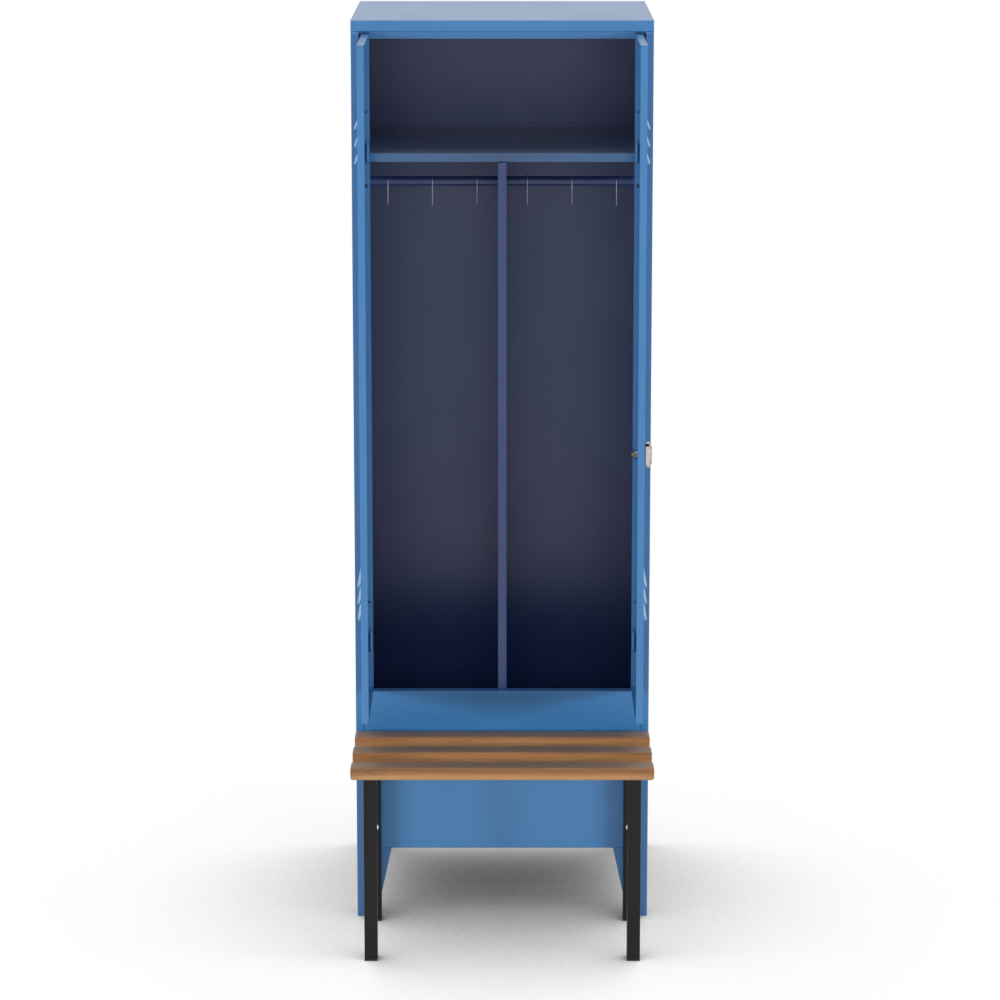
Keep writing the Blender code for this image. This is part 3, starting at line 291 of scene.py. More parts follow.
def blend_colours(tree, factor, first, second):
    """The colour between two others; in a Mix node, sockets 6, 7 and result 2 are the colours."""
    return add(tree, "Mix", {0: factor, 6: first, 7: second}, data_type="RGBA").outputs[2]


def sum_of(tree, operation, *values):
    """The result of one sum."""
    return add(tree, "Math", dict(enumerate(values)), operation=operation).outputs[0]


def spread(tree, value, low, high, to_low=0.0, to_high=1.0):
    """A value moved from one range to another."""
    return add(tree, "MapRange", {"Value": value, "From Min": low, "From Max": high,
                                  "To Min": to_low, "To Max": to_high}).outputs[0]


def coordinates(tree):
    """The object's own coordinates."""
    return add(tree, "TexCoord").outputs["Object"]


def stretched(tree, stretch):
    """The object's own coordinates, drawn out along its axes."""
    return add(tree, "Mapping", {"Vector": coordinates(tree), "Scale": stretch}).outputs[0]


def noise(tree, place, swellings, detail, roughness=0.5):
    """A cloudy value with so many swellings to the metre."""
    return add(tree, "TexNoise", {"Vector": place, "Scale": swellings, "Detail": detail,
                                  "Roughness": roughness}).outputs[0]


def parts_of(tree, vector):
    """The X, Y and Z of a vector."""
    return add(tree, "SeparateXYZ", {"Vector": vector}).outputs


def facing(tree):
    """How far the surface faces along X, Y and Z."""
    return parts_of(tree, add(tree, "NewGeometry").outputs["Normal"])


def enamel_group():
    """Baked enamel: a little unevenness of tone and gloss, settled dust, and fine ripples."""
    group, given = new_group("Baked enamel", {"Colour": WHITE, "Rear colour": WHITE, "Roughness": 0.3,
                                              "Ripples per metre": 450.0, "Dust": 0.05})
    place = coordinates(group)
    cloud = noise(group, place, CLOUDS, 3.0)
    ripple = noise(group, place, given["Ripples per metre"], 1.0)
    speck = noise(group, place, SPECKS, 2.0)
    toward = facing(group)
    # Faces turned to the rear take the rear colour, so that the back panel wears the painted-shade inner
    # blue inside and the plain blue outside.
    facing_colour = blend_colours(group, spread(group, toward["Y"], 0.4, 0.6), given["Colour"],
                            given["Rear colour"])
    tone = blend_colours(group, spread(group, cloud, 0.1, 0.9, 0.0, 0.08), facing_colour, BLACK)
    level_part = spread(group, toward["Z"], 0.5, 1.0)
    settled = sum_of(group, "MULTIPLY", level_part, spread(group, speck, 0.0, 1.0, 0.4, 0.8))
    dusty = sum_of(group, "MULTIPLY", settled, given["Dust"])
    uneven = sum_of(group, "MULTIPLY", spread(group, cloud, 0.1, 0.9, 0.93, 1.12), given["Roughness"])
    dulled = sum_of(group, "MULTIPLY", dusty, 0.2)
    put_out(group, blend_colours(group, dusty, tone, DUST), sum_of(group, "ADD", uneven, dulled), ripple)


def plating_group():
    """Plated metal: fine brushed lines along one axis, and a cloudy film."""
    group, given = new_group("Plating", {"Colour": WHITE, "Roughness": 0.25, "Stretch": (1, 1, 1)})
    lines = noise(group, stretched(group, given["Stretch"]), BRUSHED_LINES, 3.0)
    film = noise(group, coordinates(group), FILM_PATCHES, 3.0)
    filmed = blend_colours(group, spread(group, film, 0.35, 0.7, 0.0, 0.25), given["Colour"], METAL_FILM)
    worn = sum_of(group, "MULTIPLY", spread(group, lines, 0.3, 0.7, 0.8, 1.3), given["Roughness"])
    put_out(group, filmed, sum_of(group, "ADD", worn, spread(group, film, 0.4, 0.8, 0.0, 0.12)), lines)


def grain_group():
    """Oiled wood: bands, streaks and pores along X, painted light from below along the fronts' lower edge,
    painted shade along their upper edge, and a worn top.
    """
    group, given = new_group("Wood grain", {"Light": WHITE, "Dark": BLACK, "Painted underlight": WHITE, "Worn": WHITE,
                                            "Half height": 0.01, "Streaks per metre": 200.0})
    bend = add(group, "TexNoise", {"Vector": stretched(group, (2.2, 9, 9)), "Scale": 1.0, "Detail": 2.0})
    push = add(group, "VectorMath", {0: bend.outputs["Color"], "Scale": 0.020}, operation="SCALE")
    straight = stretched(group, (0.045, 1, 1))
    bent = add(group, "VectorMath", {0: straight, 1: push.outputs[0]}, operation="ADD").outputs[0]
    band = noise(group, bent, GRAIN_BANDS, 2.0)
    streak = noise(group, bent, given["Streaks per metre"], 5.0, 0.6)
    pores = spread(group, noise(group, stretched(group, (0.06, 1, 1)), PORES, 1.0), 0.60, 0.72)
    banded = sum_of(group, "MULTIPLY", spread(group, band, 0.35, 0.65), 0.55)
    streaked = sum_of(group, "MULTIPLY", spread(group, streak, 0.35, 0.65), 0.45)
    dark_part = sum_of(group, "ADD", banded, streaked)
    heart = blend_colours(group, dark_part, given["Light"], given["Dark"])
    # The paler colour of the lower edge is painted light from below; it keeps a little of the grain.
    underlit_colour = blend_colours(group, sum_of(group, "MULTIPLY", dark_part, 0.30), given["Painted underlight"], given["Dark"])
    where = parts_of(group, coordinates(group))
    level = sum_of(group, "ADD", sum_of(group, "DIVIDE", where["Z"], given["Half height"]),
                   spread(group, band, 0.2, 0.8, -0.15, 0.15))
    # Painted light from below on the fronts, towards their lower edge; the two rear slats get less of it,
    # as painted shade from the slat in front.
    lower_part = spread(group, level, 0.45, -0.40)
    underlit_share = sum_of(group, "MULTIPLY", lower_part, spread(group, where["X"], 1.15, 1.35, 1.0, 0.35))
    tone = blend_colours(group, underlit_share, heart, underlit_colour)
    # Painted shade: the fronts darken towards their upper edge.
    edge_shaded = blend_colours(group, spread(group, level, 0.45, 0.95, 0.0, 0.42), tone, PAINTED_EDGE_SHADE)
    greyed = blend_colours(group, dark_part, given["Worn"], given["Dark"])
    seat = blend_colours(group, 0.35, given["Worn"], greyed)
    sat_on = blend_colours(group, spread(group, facing(group)["Z"], 0.75, 0.97), edge_shaded, seat)
    pored = blend_colours(group, sum_of(group, "MULTIPLY", pores, 0.45), sat_on, PORE_TINT)
    relief = sum_of(group, "SUBTRACT", streak, pores)
    put_out(group, pored, spread(group, streak, 0.3, 0.7, 0.42, 0.60), relief)


def finish_material(name, group, inputs, depth, **plain):
    """A material whose colour, gloss and fine relief come from a group; its first input is a colour."""
    made = bpy.data.materials.new(name)
    made.use_nodes = True
    tree = made.node_tree
    shader = tree.nodes["Principled BSDF"]
    for label, value in plain.items():
        shader.inputs[label.replace("_", " ")].default_value = value
    surface = add(tree, "Group", node_tree=bpy.data.node_groups[group])
    for label, value in inputs.items():
        surface.inputs[label].default_value = value
    relief = add(tree, "Bump", {"Height": surface.outputs["Height"], "Distance": depth, "Strength": 1.0})
    tree.links.new(surface.outputs["Colour"], shader.inputs["Base Color"])
    tree.links.new(surface.outputs["Roughness"], shader.inputs["Roughness"])
    tree.links.new(relief.outputs["Normal"], shader.inputs["Normal"])
    made.diffuse_color = next(iter(inputs.values()))


def linked_object(name, data):
    """A new object in the scene."""
    made = bpy.data.objects.new(name, data)
    bpy.context.scene.collection.objects.link(made)
    return made


def wear(piece, finish):
    """Give a piece, or a CAD node, one of the finishes."""
    piece.data.materials.clear()
    piece.data.materials.append(bpy.data.materials[finish])


def add_piece(name, mesh, finish, body, nodes=(), at=(0, 0, 0), turn=(0, 0, 0)):
    """Put a finished mesh into the scene on its body, in place of the CAD nodes it stands for."""
    piece = linked_object(name, mesh)
    piece.location = at
    piece.rotation_euler = turn
    wear(piece, finish)
    mesh.shade_smooth()
    mesh.set_sharp_from_angle(angle=SHARP_ANGLE)
    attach(piece, body)
    if nodes:
        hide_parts(*nodes)


def mesh_of(shape, name):
    """Turn a bmesh into a mesh."""
    mesh = bpy.data.meshes.new(name)
    shape.to_mesh(mesh)
    shape.free()
    return mesh


def moved(mesh, place, turn):
    """The mesh, turned and then moved."""
    mesh.transform(Matrix.Translation(place) @ Euler(turn).to_matrix().to_4x4())
    return mesh


def baked(thing):
    """The mesh of an object with its modifiers applied, welded; the object itself goes."""
    bpy.context.view_layer.update()
    seen = thing.evaluated_get(bpy.context.evaluated_depsgraph_get())
    mesh = bpy.data.meshes.new_from_object(seen)
    mesh.materials.clear()
    bpy.data.objects.remove(thing, do_unlink=True)
    shape = bmesh.new()
    shape.from_mesh(mesh)
    bmesh.ops.remove_doubles(shape, verts=shape.verts, dist=WELD_DISTANCE)
    bmesh.ops.recalc_face_normals(shape, faces=shape.faces)
    shape.to_mesh(mesh)
    shape.free()
    return mesh


def rounded_box(size, radius, steps, middle=(0, 0, 0)):
    """The bmesh of a box with rounded edges."""
    shape = bmesh.new()
    bmesh.ops.create_cube(shape, size=1)
    bmesh.ops.scale(shape, vec=size, verts=shape.verts)
    bmesh.ops.bevel(shape, geom=shape.edges, offset=radius, segments=steps, affect="EDGES", profile=0.5)
    bmesh.ops.translate(shape, vec=middle, verts=shape.verts)
    return shape


def rod(start, end, radius, sides):
    """The bmesh of a straight round bar between two points."""
    start, end = Vector(start), Vector(end)
    shape = bmesh.new()
    bmesh.ops.create_cone(shape, cap_ends=True, segments=sides, radius1=radius, radius2=radius,
                          depth=(end - start).length)
    bmesh.ops.rotate(shape, matrix=(end - start).to_track_quat("Z", "Y").to_matrix(), verts=shape.verts)
    bmesh.ops.translate(shape, vec=(start + end) / 2, verts=shape.verts)
    return shape


def turned_mesh(name, profile, sides=48):
    """A turned mesh about Z: radius and height pairs, outer side first from top to bottom."""
    shape = bmesh.new()
    points = [shape.verts.new((radius, 0, height)) for radius, height in profile]
    is_ring = profile[0][0] > 0 and profile[-1][0] > 0
    pairs = list(zip(points, points[1:])) + ([(points[-1], points[0])] if is_ring else [])
    for pair in pairs:
        shape.edges.new(pair)
    bmesh.ops.spin(shape, geom=shape.verts[:] + shape.edges[:], cent=(0, 0, 0), axis=(0, 0, 1),
                   angle=2 * math.pi, steps=sides)
    bmesh.ops.remove_doubles(shape, verts=shape.verts, dist=WELD_DISTANCE)
    bmesh.ops.recalc_face_normals(shape, faces=shape.faces)
    return mesh_of(shape, name)


def softened(profile, radius):
    """A turned profile with its corners rounded, apart from its two ends."""
    steps = 3
    made = [profile[0]]
    for corners in zip(profile, profile[1:], profile[2:]):
        before, corner, after = (Vector(place) for place in corners)
        reach = min(radius, (corner - before).length / 2, (after - corner).length / 2)
        start = corner + (before - corner).normalized() * reach
        end = corner + (after - corner).normalized() * reach
        for step in range(steps + 1):
            share = step / steps
            bowed = start * (1 - share) ** 2 + corner * 2 * share * (1 - share) + end * share ** 2
            made.append(tuple(bowed))
    made.append(profile[-1])
    return made


def fold_section(corners, radius, steps):
    """A polyline with its right-angled corners turned into arcs."""
    points = [corners[0]]
    for before, corner, after in zip(corners, corners[1:], corners[2:]):
        arriving, leaving = (corner - before).normalized(), (after - corner).normalized()
        if arriving.dot(leaving) > 0.999:
            points.append(corner)
            continue
        centre = corner - arriving * radius + leaving * radius
        for step in range(steps + 1):
            turn = QUARTER * step / steps
            points.append(centre + arriving * radius * math.sin(turn) - leaving * radius * math.cos(turn))
    points.append(corners[-1])
    return points


def curve_through(name, places, closed, **settings):
    """A curve that runs straight from point to point."""
    curve = bpy.data.curves.new(name, "CURVE")
    for label, value in settings.items():
        setattr(curve, label, value)
    spline = curve.splines.new("POLY")
    spline.points.add(len(places) - 1)
    for point, place in zip(spline.points, places):
        point.co = (*place, 1)
    spline.use_cyclic_u = closed
    return curve


def plate_mesh(name, outline, depth, edge=0, edge_steps=3):
    """The mesh of a flat outline with its thickness centred on its plane and its rim rounded."""
    curve = curve_through(name, [(x, y, 0) for x, y in outline], True, dimensions="2D", fill_mode="BOTH",
                          extrude=depth / 2 - edge, bevel_depth=edge, bevel_resolution=edge_steps,
                          offset=-edge)
    return baked(linked_object(name, curve))


def wire_mesh(name, points, radius, resolution=4):
    """The mesh of a bent wire through the points, with drawn-in tips."""
    curve = curve_through(name, points, False, dimensions="3D", bevel_depth=radius,
                          bevel_resolution=resolution, use_fill_caps=True)
    ends, drawn_in = curve.splines[0].points, 0.55
    ends[0].radius = ends[-1].radius = drawn_in
    return baked(linked_object(name, curve))


def arc(centre, radius, start, end, steps):
    """Points along an arc in a plane."""
    turns = [start + (end - start) * step / steps for step in range(steps + 1)]
    return [(centre[0] + radius * math.cos(turn), centre[1] + radius * math.sin(turn)) for turn in turns]


def stadium(width, length):
    """An upright outline with half-round ends."""
    straight, steps = length / 2 - width / 2, 16
    return (arc((0, straight), width / 2, 0, math.pi, steps)
            + arc((0, -straight), width / 2, math.pi, 2 * math.pi, steps))


def span(middle, size):
    """The lower and the upper end of a size about its middle."""
    return middle - size / 2, middle + size / 2


def carve(mesh, name, shape, operation="DIFFERENCE"):
    """The mesh with a bmesh cut out of it, joined to it, or kept only inside it."""
    thing, tool = linked_object(name, mesh), linked_object(f"{name} tool", mesh_of(shape, name))
    step = thing.modifiers.new(name, "BOOLEAN")
    step.operation = operation
    step.solver = "EXACT"
    step.object = tool
    made = baked(thing)
    bpy.data.objects.remove(tool, do_unlink=True)
    return made


class LOCKER_OT_finishes(bpy.types.Operator):
    """Make the enamels, the oiled wood, the plated metals and the plastic"""

    bl_idname = "locker.finishes"
    bl_label = "Finishes"

    def execute(self, context):
        """Build the groups once and place them in each material."""
        enamel, wood, metal = (getattr(context.scene.locker, part) for part in ("enamel", "wood", "metal"))
        enamel_group()
        plating_group()
        grain_group()
        blue, inner, shelf, partition = enamel.blue, enamel.inner, enamel.shelf, enamel.partition
        gloss, ripples = enamel.roughness, 1 / enamel.peel_size
        # Shelf, partition, inner and back enamel wear the darker blues: painted shade inside the wardrobe.
        # The back enamel keeps the plain blue on faces turned to the rear.
        for finish, front, rear, roughness, ripple, dust, ior, glint in (
                ("blue enamel", blue, blue, gloss, ripples, 0.01, 1.60, 0.5),
                ("roof enamel", blue, blue, gloss, ripples, 0.05, 1.60, 0.5),
                ("shaded shelf enamel", shelf, shelf, enamel.shelf_roughness, ripples, 0.50, 1.66, 0.5),
                ("floor enamel", blue, blue, gloss, ripples, 0.40, 1.60, 0.5),
                ("shaded partition enamel", partition, partition, gloss, ripples, 0.01, 1.60, 0.5),
                ("shaded inner enamel", inner, inner, gloss, ripples, 0.01, 1.66, 0.5),
                ("back enamel shaded inside", inner, blue, gloss, ripples, 0.01, 1.66, 0.5),
                ("black enamel", enamel.black, enamel.black, 0.38, ripples, 0.03, 1.50, 0.25),
                ("glide plastic", metal.plastic, metal.plastic, 0.5, 2 * ripples, 0.05, 1.50, 0.5)):
            finish_material(finish, "Baked enamel", {"Colour": front, "Rear colour": rear,
                                                     "Roughness": roughness, "Ripples per metre": ripple,
                                                     "Dust": dust},
                            enamel.peel_depth, IOR=ior, Specular_IOR_Level=glint)
        for finish, colour, roughness, stretch in (
                ("zinc plate", metal.zinc, 0.28, 0.1), ("bright wire", metal.wire, 0.34, 0.1),
                ("aged zinc", metal.aged, 0.32, 0.1), ("nickel plate", metal.nickel, 0.24, 0.08)):
            finish_material(finish, "Plating", {"Colour": colour, "Roughness": roughness,
                                                "Stretch": (1, 1, stretch)}, PLATING_RELIEF, Metallic=1.0)
        low, high, _ = cad_box("bench_slat_1")
        finish_material("oiled wood", "Wood grain", {"Light": wood.light, "Dark": wood.dark,
                                                     "Painted underlight": wood.painted_underlight, "Worn": wood.worn,
                                                     "Half height": (high.z - low.z) / 2,
                                                     "Streaks per metre": 1 / wood.streak_width},
                        GRAIN_RELIEF)
        return {"FINISHED"}


CABINET_FINISHES = {
    "blue enamel": ("side_panel_left", "side_panel_right", "lower_front_panel",
                    "foot_front_left", "foot_front_right", "foot_rear_left", "foot_rear_right"),
    "roof enamel": ("roof_panel",),
    "shaded shelf enamel": ("hat_shelf",),
    # The shelf, back and partition enamels carry painted shade in darker blues.
    "floor enamel": ("floor_panel",),
    "back enamel shaded inside": ("back_panel",),
    "shaded partition enamel": ("partition_sheet", "partition_bar"),
}


class LOCKER_OT_cabinet(bpy.types.Operator):
    """Enamel the folded panels of the cabinet and its feet, and fill the seams beside the lower panel"""

    bl_idname = "locker.cabinet"
    bl_label = "Cabinet"

    def execute(self, context):
        """Give the carried-over nodes their finish and lay enamel into the two seams."""
        for finish, names in CABINET_FINISHES.items():
            for name in names:
                wear(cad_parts[name], finish)
        for name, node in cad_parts.items():
            if name.startswith(("hinge_lug", "hinge_knuckle")):
                wear(node, "blue enamel")
        low, high, middle = cad_box("lower_front_panel")
        width, depth, half_seam, set_back, rounding = 0.0006, 0.004, 0.0004, 0.0003, 0.00015
        for name, side in SIDES.items():
            fill = rounded_box((width, depth, high.z - low.z - depth), rounding, 2)
            add_piece(f"seam_{name}", mesh_of(fill, "seam"), "blue enamel", "cabinet", (),
                      (side * (high.x + half_seam), low.y + depth / 2 + set_back, middle.z))
        return {"FINISHED"}


class LOCKER_OT_leaves(bpy.types.Operator):
    """Fold the two leaves and press out their louvres"""

    bl_idname = "locker.leaves"
    bl_label = "Leaves"

    def execute(self, context):
        """Make both leaves as they stand, open."""
        for name, side in SIDES.items():
            self.fold_leaf(context.scene.locker.leaf, name, side, context.scene.locker.latch)
        return {"FINISHED"}

    def fold_leaf(self, leaf, name, side, latch):
        """Make one leaf: folded grid, louvres, ends, thickness, holes."""
        low, high, _ = cad_box(f"door_leaf_{name}")
        face = (high.x if side < 0 else low.x) + side * leaf.thickness
        hinge_y, width = high.y, high.y - low.y
        bottom, top = low.z, high.z

        def point(from_edge, from_face, height=0.0):
            return Vector((face - side * from_face, hinge_y - from_edge, height))

        near, far = leaf.louvre_near, width - leaf.louvre_far
        ends = [-FLAT_MARGIN] + [leaf.louvre_cap * share for share in (0, 0.4, 1)]
        ends += [leaf.louvre_cap + leaf.louvre_swell * share for share in (0.15, 0.35, 0.65, 1)]
        columns = [near + reach for reach in ends] + [(near + far) / 2]
        columns += [far - reach for reach in reversed(ends)]
        notch_end = leaf.slot_start + leaf.notch_width
        corners = [(0, leaf.thickness), (0, notch_end), (0, leaf.slot_start), (0, 0)]
        corners += [(reach, 0) for reach in columns]
        corners += [(width, 0), (width, leaf.thickness), (width - leaf.lip, leaf.thickness)]
        section = fold_section([point(*corner) for corner in corners], leaf.fold_radius, leaf.fold_steps)

        hinges = {which: cad_box(f"hinge_lug_{name}_{which}")[2].z for which in HINGES}
        first_slits = (top - leaf.upper_louvre, bottom + leaf.lower_louvre)
        slits = [first - leaf.louvre_pitch * number
                 for first in first_slits for number in range(leaf.louvres)]
        slots = [span(height, leaf.slot_height) for height in hinges.values()]
        notches = [span(height + leaf.notch_above, leaf.notch_height) for height in hinges.values()]
        hood = [leaf.louvre_drop * share for share in (0, 0.12, 0.27, 0.45, 0.66, 1)]
        hood += [-leaf.louvre_slit - FLAT_MARGIN, leaf.louvre_drop + FLAT_MARGIN]
        relief = 2 * leaf.fold_radius
        rows = {bottom, bottom + relief, top - relief, top}
        rows.update(slit + rise for slit in slits for rise in hood)
        rows.update(level for opening in slots + notches for level in opening)
        rows = sorted(rows)

        shape = bmesh.new()
        across, along = len(section) - 1, len(rows) - 1
        bmesh.ops.create_grid(shape, x_segments=across, y_segments=along, size=1)
        for vert in shape.verts:
            column, row = round((vert.co.x + 1) / 2 * across), round((vert.co.y + 1) / 2 * along)
            vert.co = section[column] + Vector((0, 0, rows[row]))

        def opened(centre):
            depth, reach = side * (face - centre.x), hinge_y - centre.y
            if reach < leaf.fold_radius / 2 and depth > leaf.slot_start:
                openings = slots + notches if depth < notch_end else slots
                return any(start < centre.z < end for start, end in openings)
            at_lip = reach > width / 2 and depth > leaf.thickness - leaf.fold_radius
            return at_lip and not bottom + relief < centre.z < top - relief

        gone = [cell for cell in shape.faces if opened(cell.calc_center_median())]
        bmesh.ops.delete(shape, geom=gone, context="FACES")
        for level in (bottom, top):
            rim = [vert for corner in section for vert in shape.verts
                   if (vert.co - corner - Vector((0, 0, level))).length < WELD_DISTANCE]
            rim.append(shape.verts.new(point(width, leaf.thickness, level)))
            shape.faces.new(rim if level == top else reversed(rim))
        self.press_louvres(shape, leaf, side, face, hinge_y, slits, near, far)

        thing = linked_object("leaf", mesh_of(shape, f"leaf_{name}"))
        wall = thing.modifiers.new("sheet", "SOLIDIFY")
        wall.thickness = leaf.sheet
        wall.offset = side
        wall.use_even_offset = True
        mesh = baked(thing)
        hole_x = point(0, leaf.slot_start + leaf.hole_radius).x
        hole_z = hinges["upper"] - leaf.hole_below
        drill = rod((hole_x, hinge_y + leaf.sheet, hole_z), (hole_x, hinge_y - 3 * leaf.sheet, hole_z),
                    leaf.hole_radius, 24)
        mesh = carve(mesh, "edge hole", drill)
        # A black plug behind the round hole: painted shade, a dark piece where the hole would only be in
        # shade.
        depth, rounding, gap = 0.0016, 0.0004, 0.0002
        shade_plug = plate_mesh("edge buffer", stadium(leaf.shade_plug_width, leaf.shade_plug_height), depth, rounding)
        add_piece(f"edge_buffer_{name}", shade_plug, "glide plastic", f"door_{name}", (),
                  (hole_x, hinge_y - leaf.sheet - gap - depth / 2, hole_z), TOP_TO_FRONT)
        if side > 0:
            axis = cad_box("latch_cam_nut")[2]
            drill = rod((face + leaf.sheet, axis.y, axis.z), (face - 3 * leaf.sheet, axis.y, axis.z),
                        latch.barrel_radius + leaf.sheet / 3, 32)
            mesh = carve(mesh, "barrel hole", drill)
        add_piece(f"leaf_{name}", mesh, "blue enamel", f"door_{name}", (f"door_leaf_{name}",))

    def press_louvres(self, shape, leaf, side, face, hinge_y, slits, near, far):
        """Slit the skin below each hood and press the sheet above the slit out in a curve."""

        def on_skin(place):
            return abs(place.x - face) < WELD_DISTANCE

        def from_end(place):
            reach = hinge_y - place.y
            return min(reach - near, far - reach)

        for slit in slits:
            line = [edge for edge in shape.edges if all(
                on_skin(vert.co) and abs(vert.co.z - slit) < WELD_DISTANCE
                and from_end(vert.co) > -WELD_DISTANCE for vert in edge.verts)]
            bmesh.ops.split_edges(shape, edges=line)
            for vert in shape.verts:
                inward, rise = from_end(vert.co), vert.co.z - slit
                in_hood = -WELD_DISTANCE < rise < leaf.louvre_drop - WELD_DISTANCE
                if not on_skin(vert.co) or not in_hood or inward < WELD_DISTANCE:
                    continue
                capped = 1 - (1 - min(1.0, inward / leaf.louvre_cap)) ** 1.5
                swollen = 1 - (1 - min(1.0, max(0.0, inward - leaf.louvre_cap) / leaf.louvre_swell)) ** 2
                is_below = all(cell.calc_center_median().z < slit for cell in vert.link_faces)
                if rise < WELD_DISTANCE and is_below:
                    vert.co.z -= leaf.louvre_slit * capped
                    continue
                end_share = capped * leaf.louvre_cap_rise + swollen * (1 - leaf.louvre_cap_rise)
                share = max(0.0, rise / leaf.louvre_drop)
                curve = leaf.curve_ends + swollen * (leaf.curve_middle - leaf.curve_ends)
                vert.co.x += side * leaf.louvre_rise * end_share * (1 - share) ** curve


class LOCKER_OT_hinges(bpy.types.Operator):
    """Turn the hinge pins with domed heads"""

    bl_idname = "locker.hinges"
    bl_label = "Hinges"

    def execute(self, context):
        """Make a pin at each hinge."""
        head_height, straight, taper = 0.0015, 0.0006, 0.0007
        for name, which in ((name, which) for name in SIDES for which in HINGES):
            node = f"hinge_pin_{name}_{which}"
            low, high, middle = cad_box(node)
            head = (high.x - low.x) / 2
            shank = head * 0.59
            top, bottom = high.z - middle.z, low.z - middle.z
            under = top - head_height
            rim, domed = under + straight, head_height - straight
            profile = [(0, top)] + [(head * math.sin(turn), rim + domed * math.cos(turn))
                                    for turn in (0.35, 0.7, 1.05, 1.35, QUARTER)]
            profile += [(head, under), (shank, under), (shank, bottom + taper), (shank * 0.75, bottom),
                        (0, bottom)]
            add_piece(f"pin_{name}_{which}", turned_mesh(node, profile, 32), "blue enamel", f"door_{name}",
                      (node,), middle)
        return {"FINISHED"}


class LOCKER_OT_rails(bpy.types.Operator):
    """Turn the coat rails and their flanged sockets"""

    bl_idname = "locker.rails"
    bl_label = "Coat rails"

    def execute(self, context):
        """Make a rail and two sockets in each wardrobe half."""
        wall = context.scene.locker.hook.rail_wall
        gap, flange_root, flange_edge, rounding, sides = 0.0003, 0.0022, 0.0016, 0.0006, 64
        for name, side in SIDES.items():
            node = f"coat_rail_{name}"
            low, high, middle = cad_box(node)
            radius, half = (high.z - low.z) / 2, (high.x - low.x) / 2
            # Rails and sockets wear the inner enamel, whose darker blue is painted shade.
            tube = [(radius, half), (radius, -half), (radius - wall, -half), (radius - wall, half)]
            add_piece(f"rail_{name}", turned_mesh(node, tube, sides), "shaded inner enamel", "cabinet", (node,),
                      middle, TOP_TO_RIGHT)
            for end, inward in (("inner", side), ("outer", -side)):
                node = f"rail_socket_{name}_{end}"
                low, high, middle = cad_box(node)
                outer, length, bore = (high.z - low.z) / 2, high.x - low.x, radius + gap
                profile = softened([(outer * 0.89, length), (outer * 0.87, flange_root),
                                    (outer, flange_edge), (outer, 0), (bore, 0), (bore, length)], rounding)
                base = low.x if inward > 0 else high.x
                add_piece(f"socket_{name}_{end}", turned_mesh(node, profile, sides), "shaded inner enamel",
                          "cabinet", (node,), (base, middle.y, middle.z), (0, inward * QUARTER, 0))
        return {"FINISHED"}


class LOCKER_OT_hooks(bpy.types.Operator):
    """Bend the wire hooks over the rails"""

    bl_idname = "locker.hooks"
    bl_label = "Coat hooks"

    def execute(self, context):
        """Make the six hooks, each on its own body."""
        hook = context.scene.locker.hook
        low, high, rail = cad_box("coat_rail_left")
        loop = (high.z - low.z) / 2 + hook.clearance + hook.wire
        centre = (-loop - hook.curl, hook.curl + hook.wire - hook.drop)
        shank_heights, tip_shares = (-0.012, -0.026), (0.55, 0.88, 1)
        route = arc((0, 0), loop, -hook.behind, math.pi, 32)
        route += [(-loop, height) for height in shank_heights]
        route += arc(centre, hook.curl, 0, -math.pi, 20)
        route += [(centre[0] - hook.curl, centre[1] + hook.tip * share) for share in tip_shares]
        for number in range(1, 7):
            node = f"coat_hook_{number}"
            mesh = wire_mesh(node, [(0, y, z) for y, z in route], hook.wire)
            add_piece(f"hook_wire_{number}", mesh, "bright wire", f"hook_{number}", (node,),
                      (cad_box(node)[2].x, rail.y, rail.z))
        return {"FINISHED"}


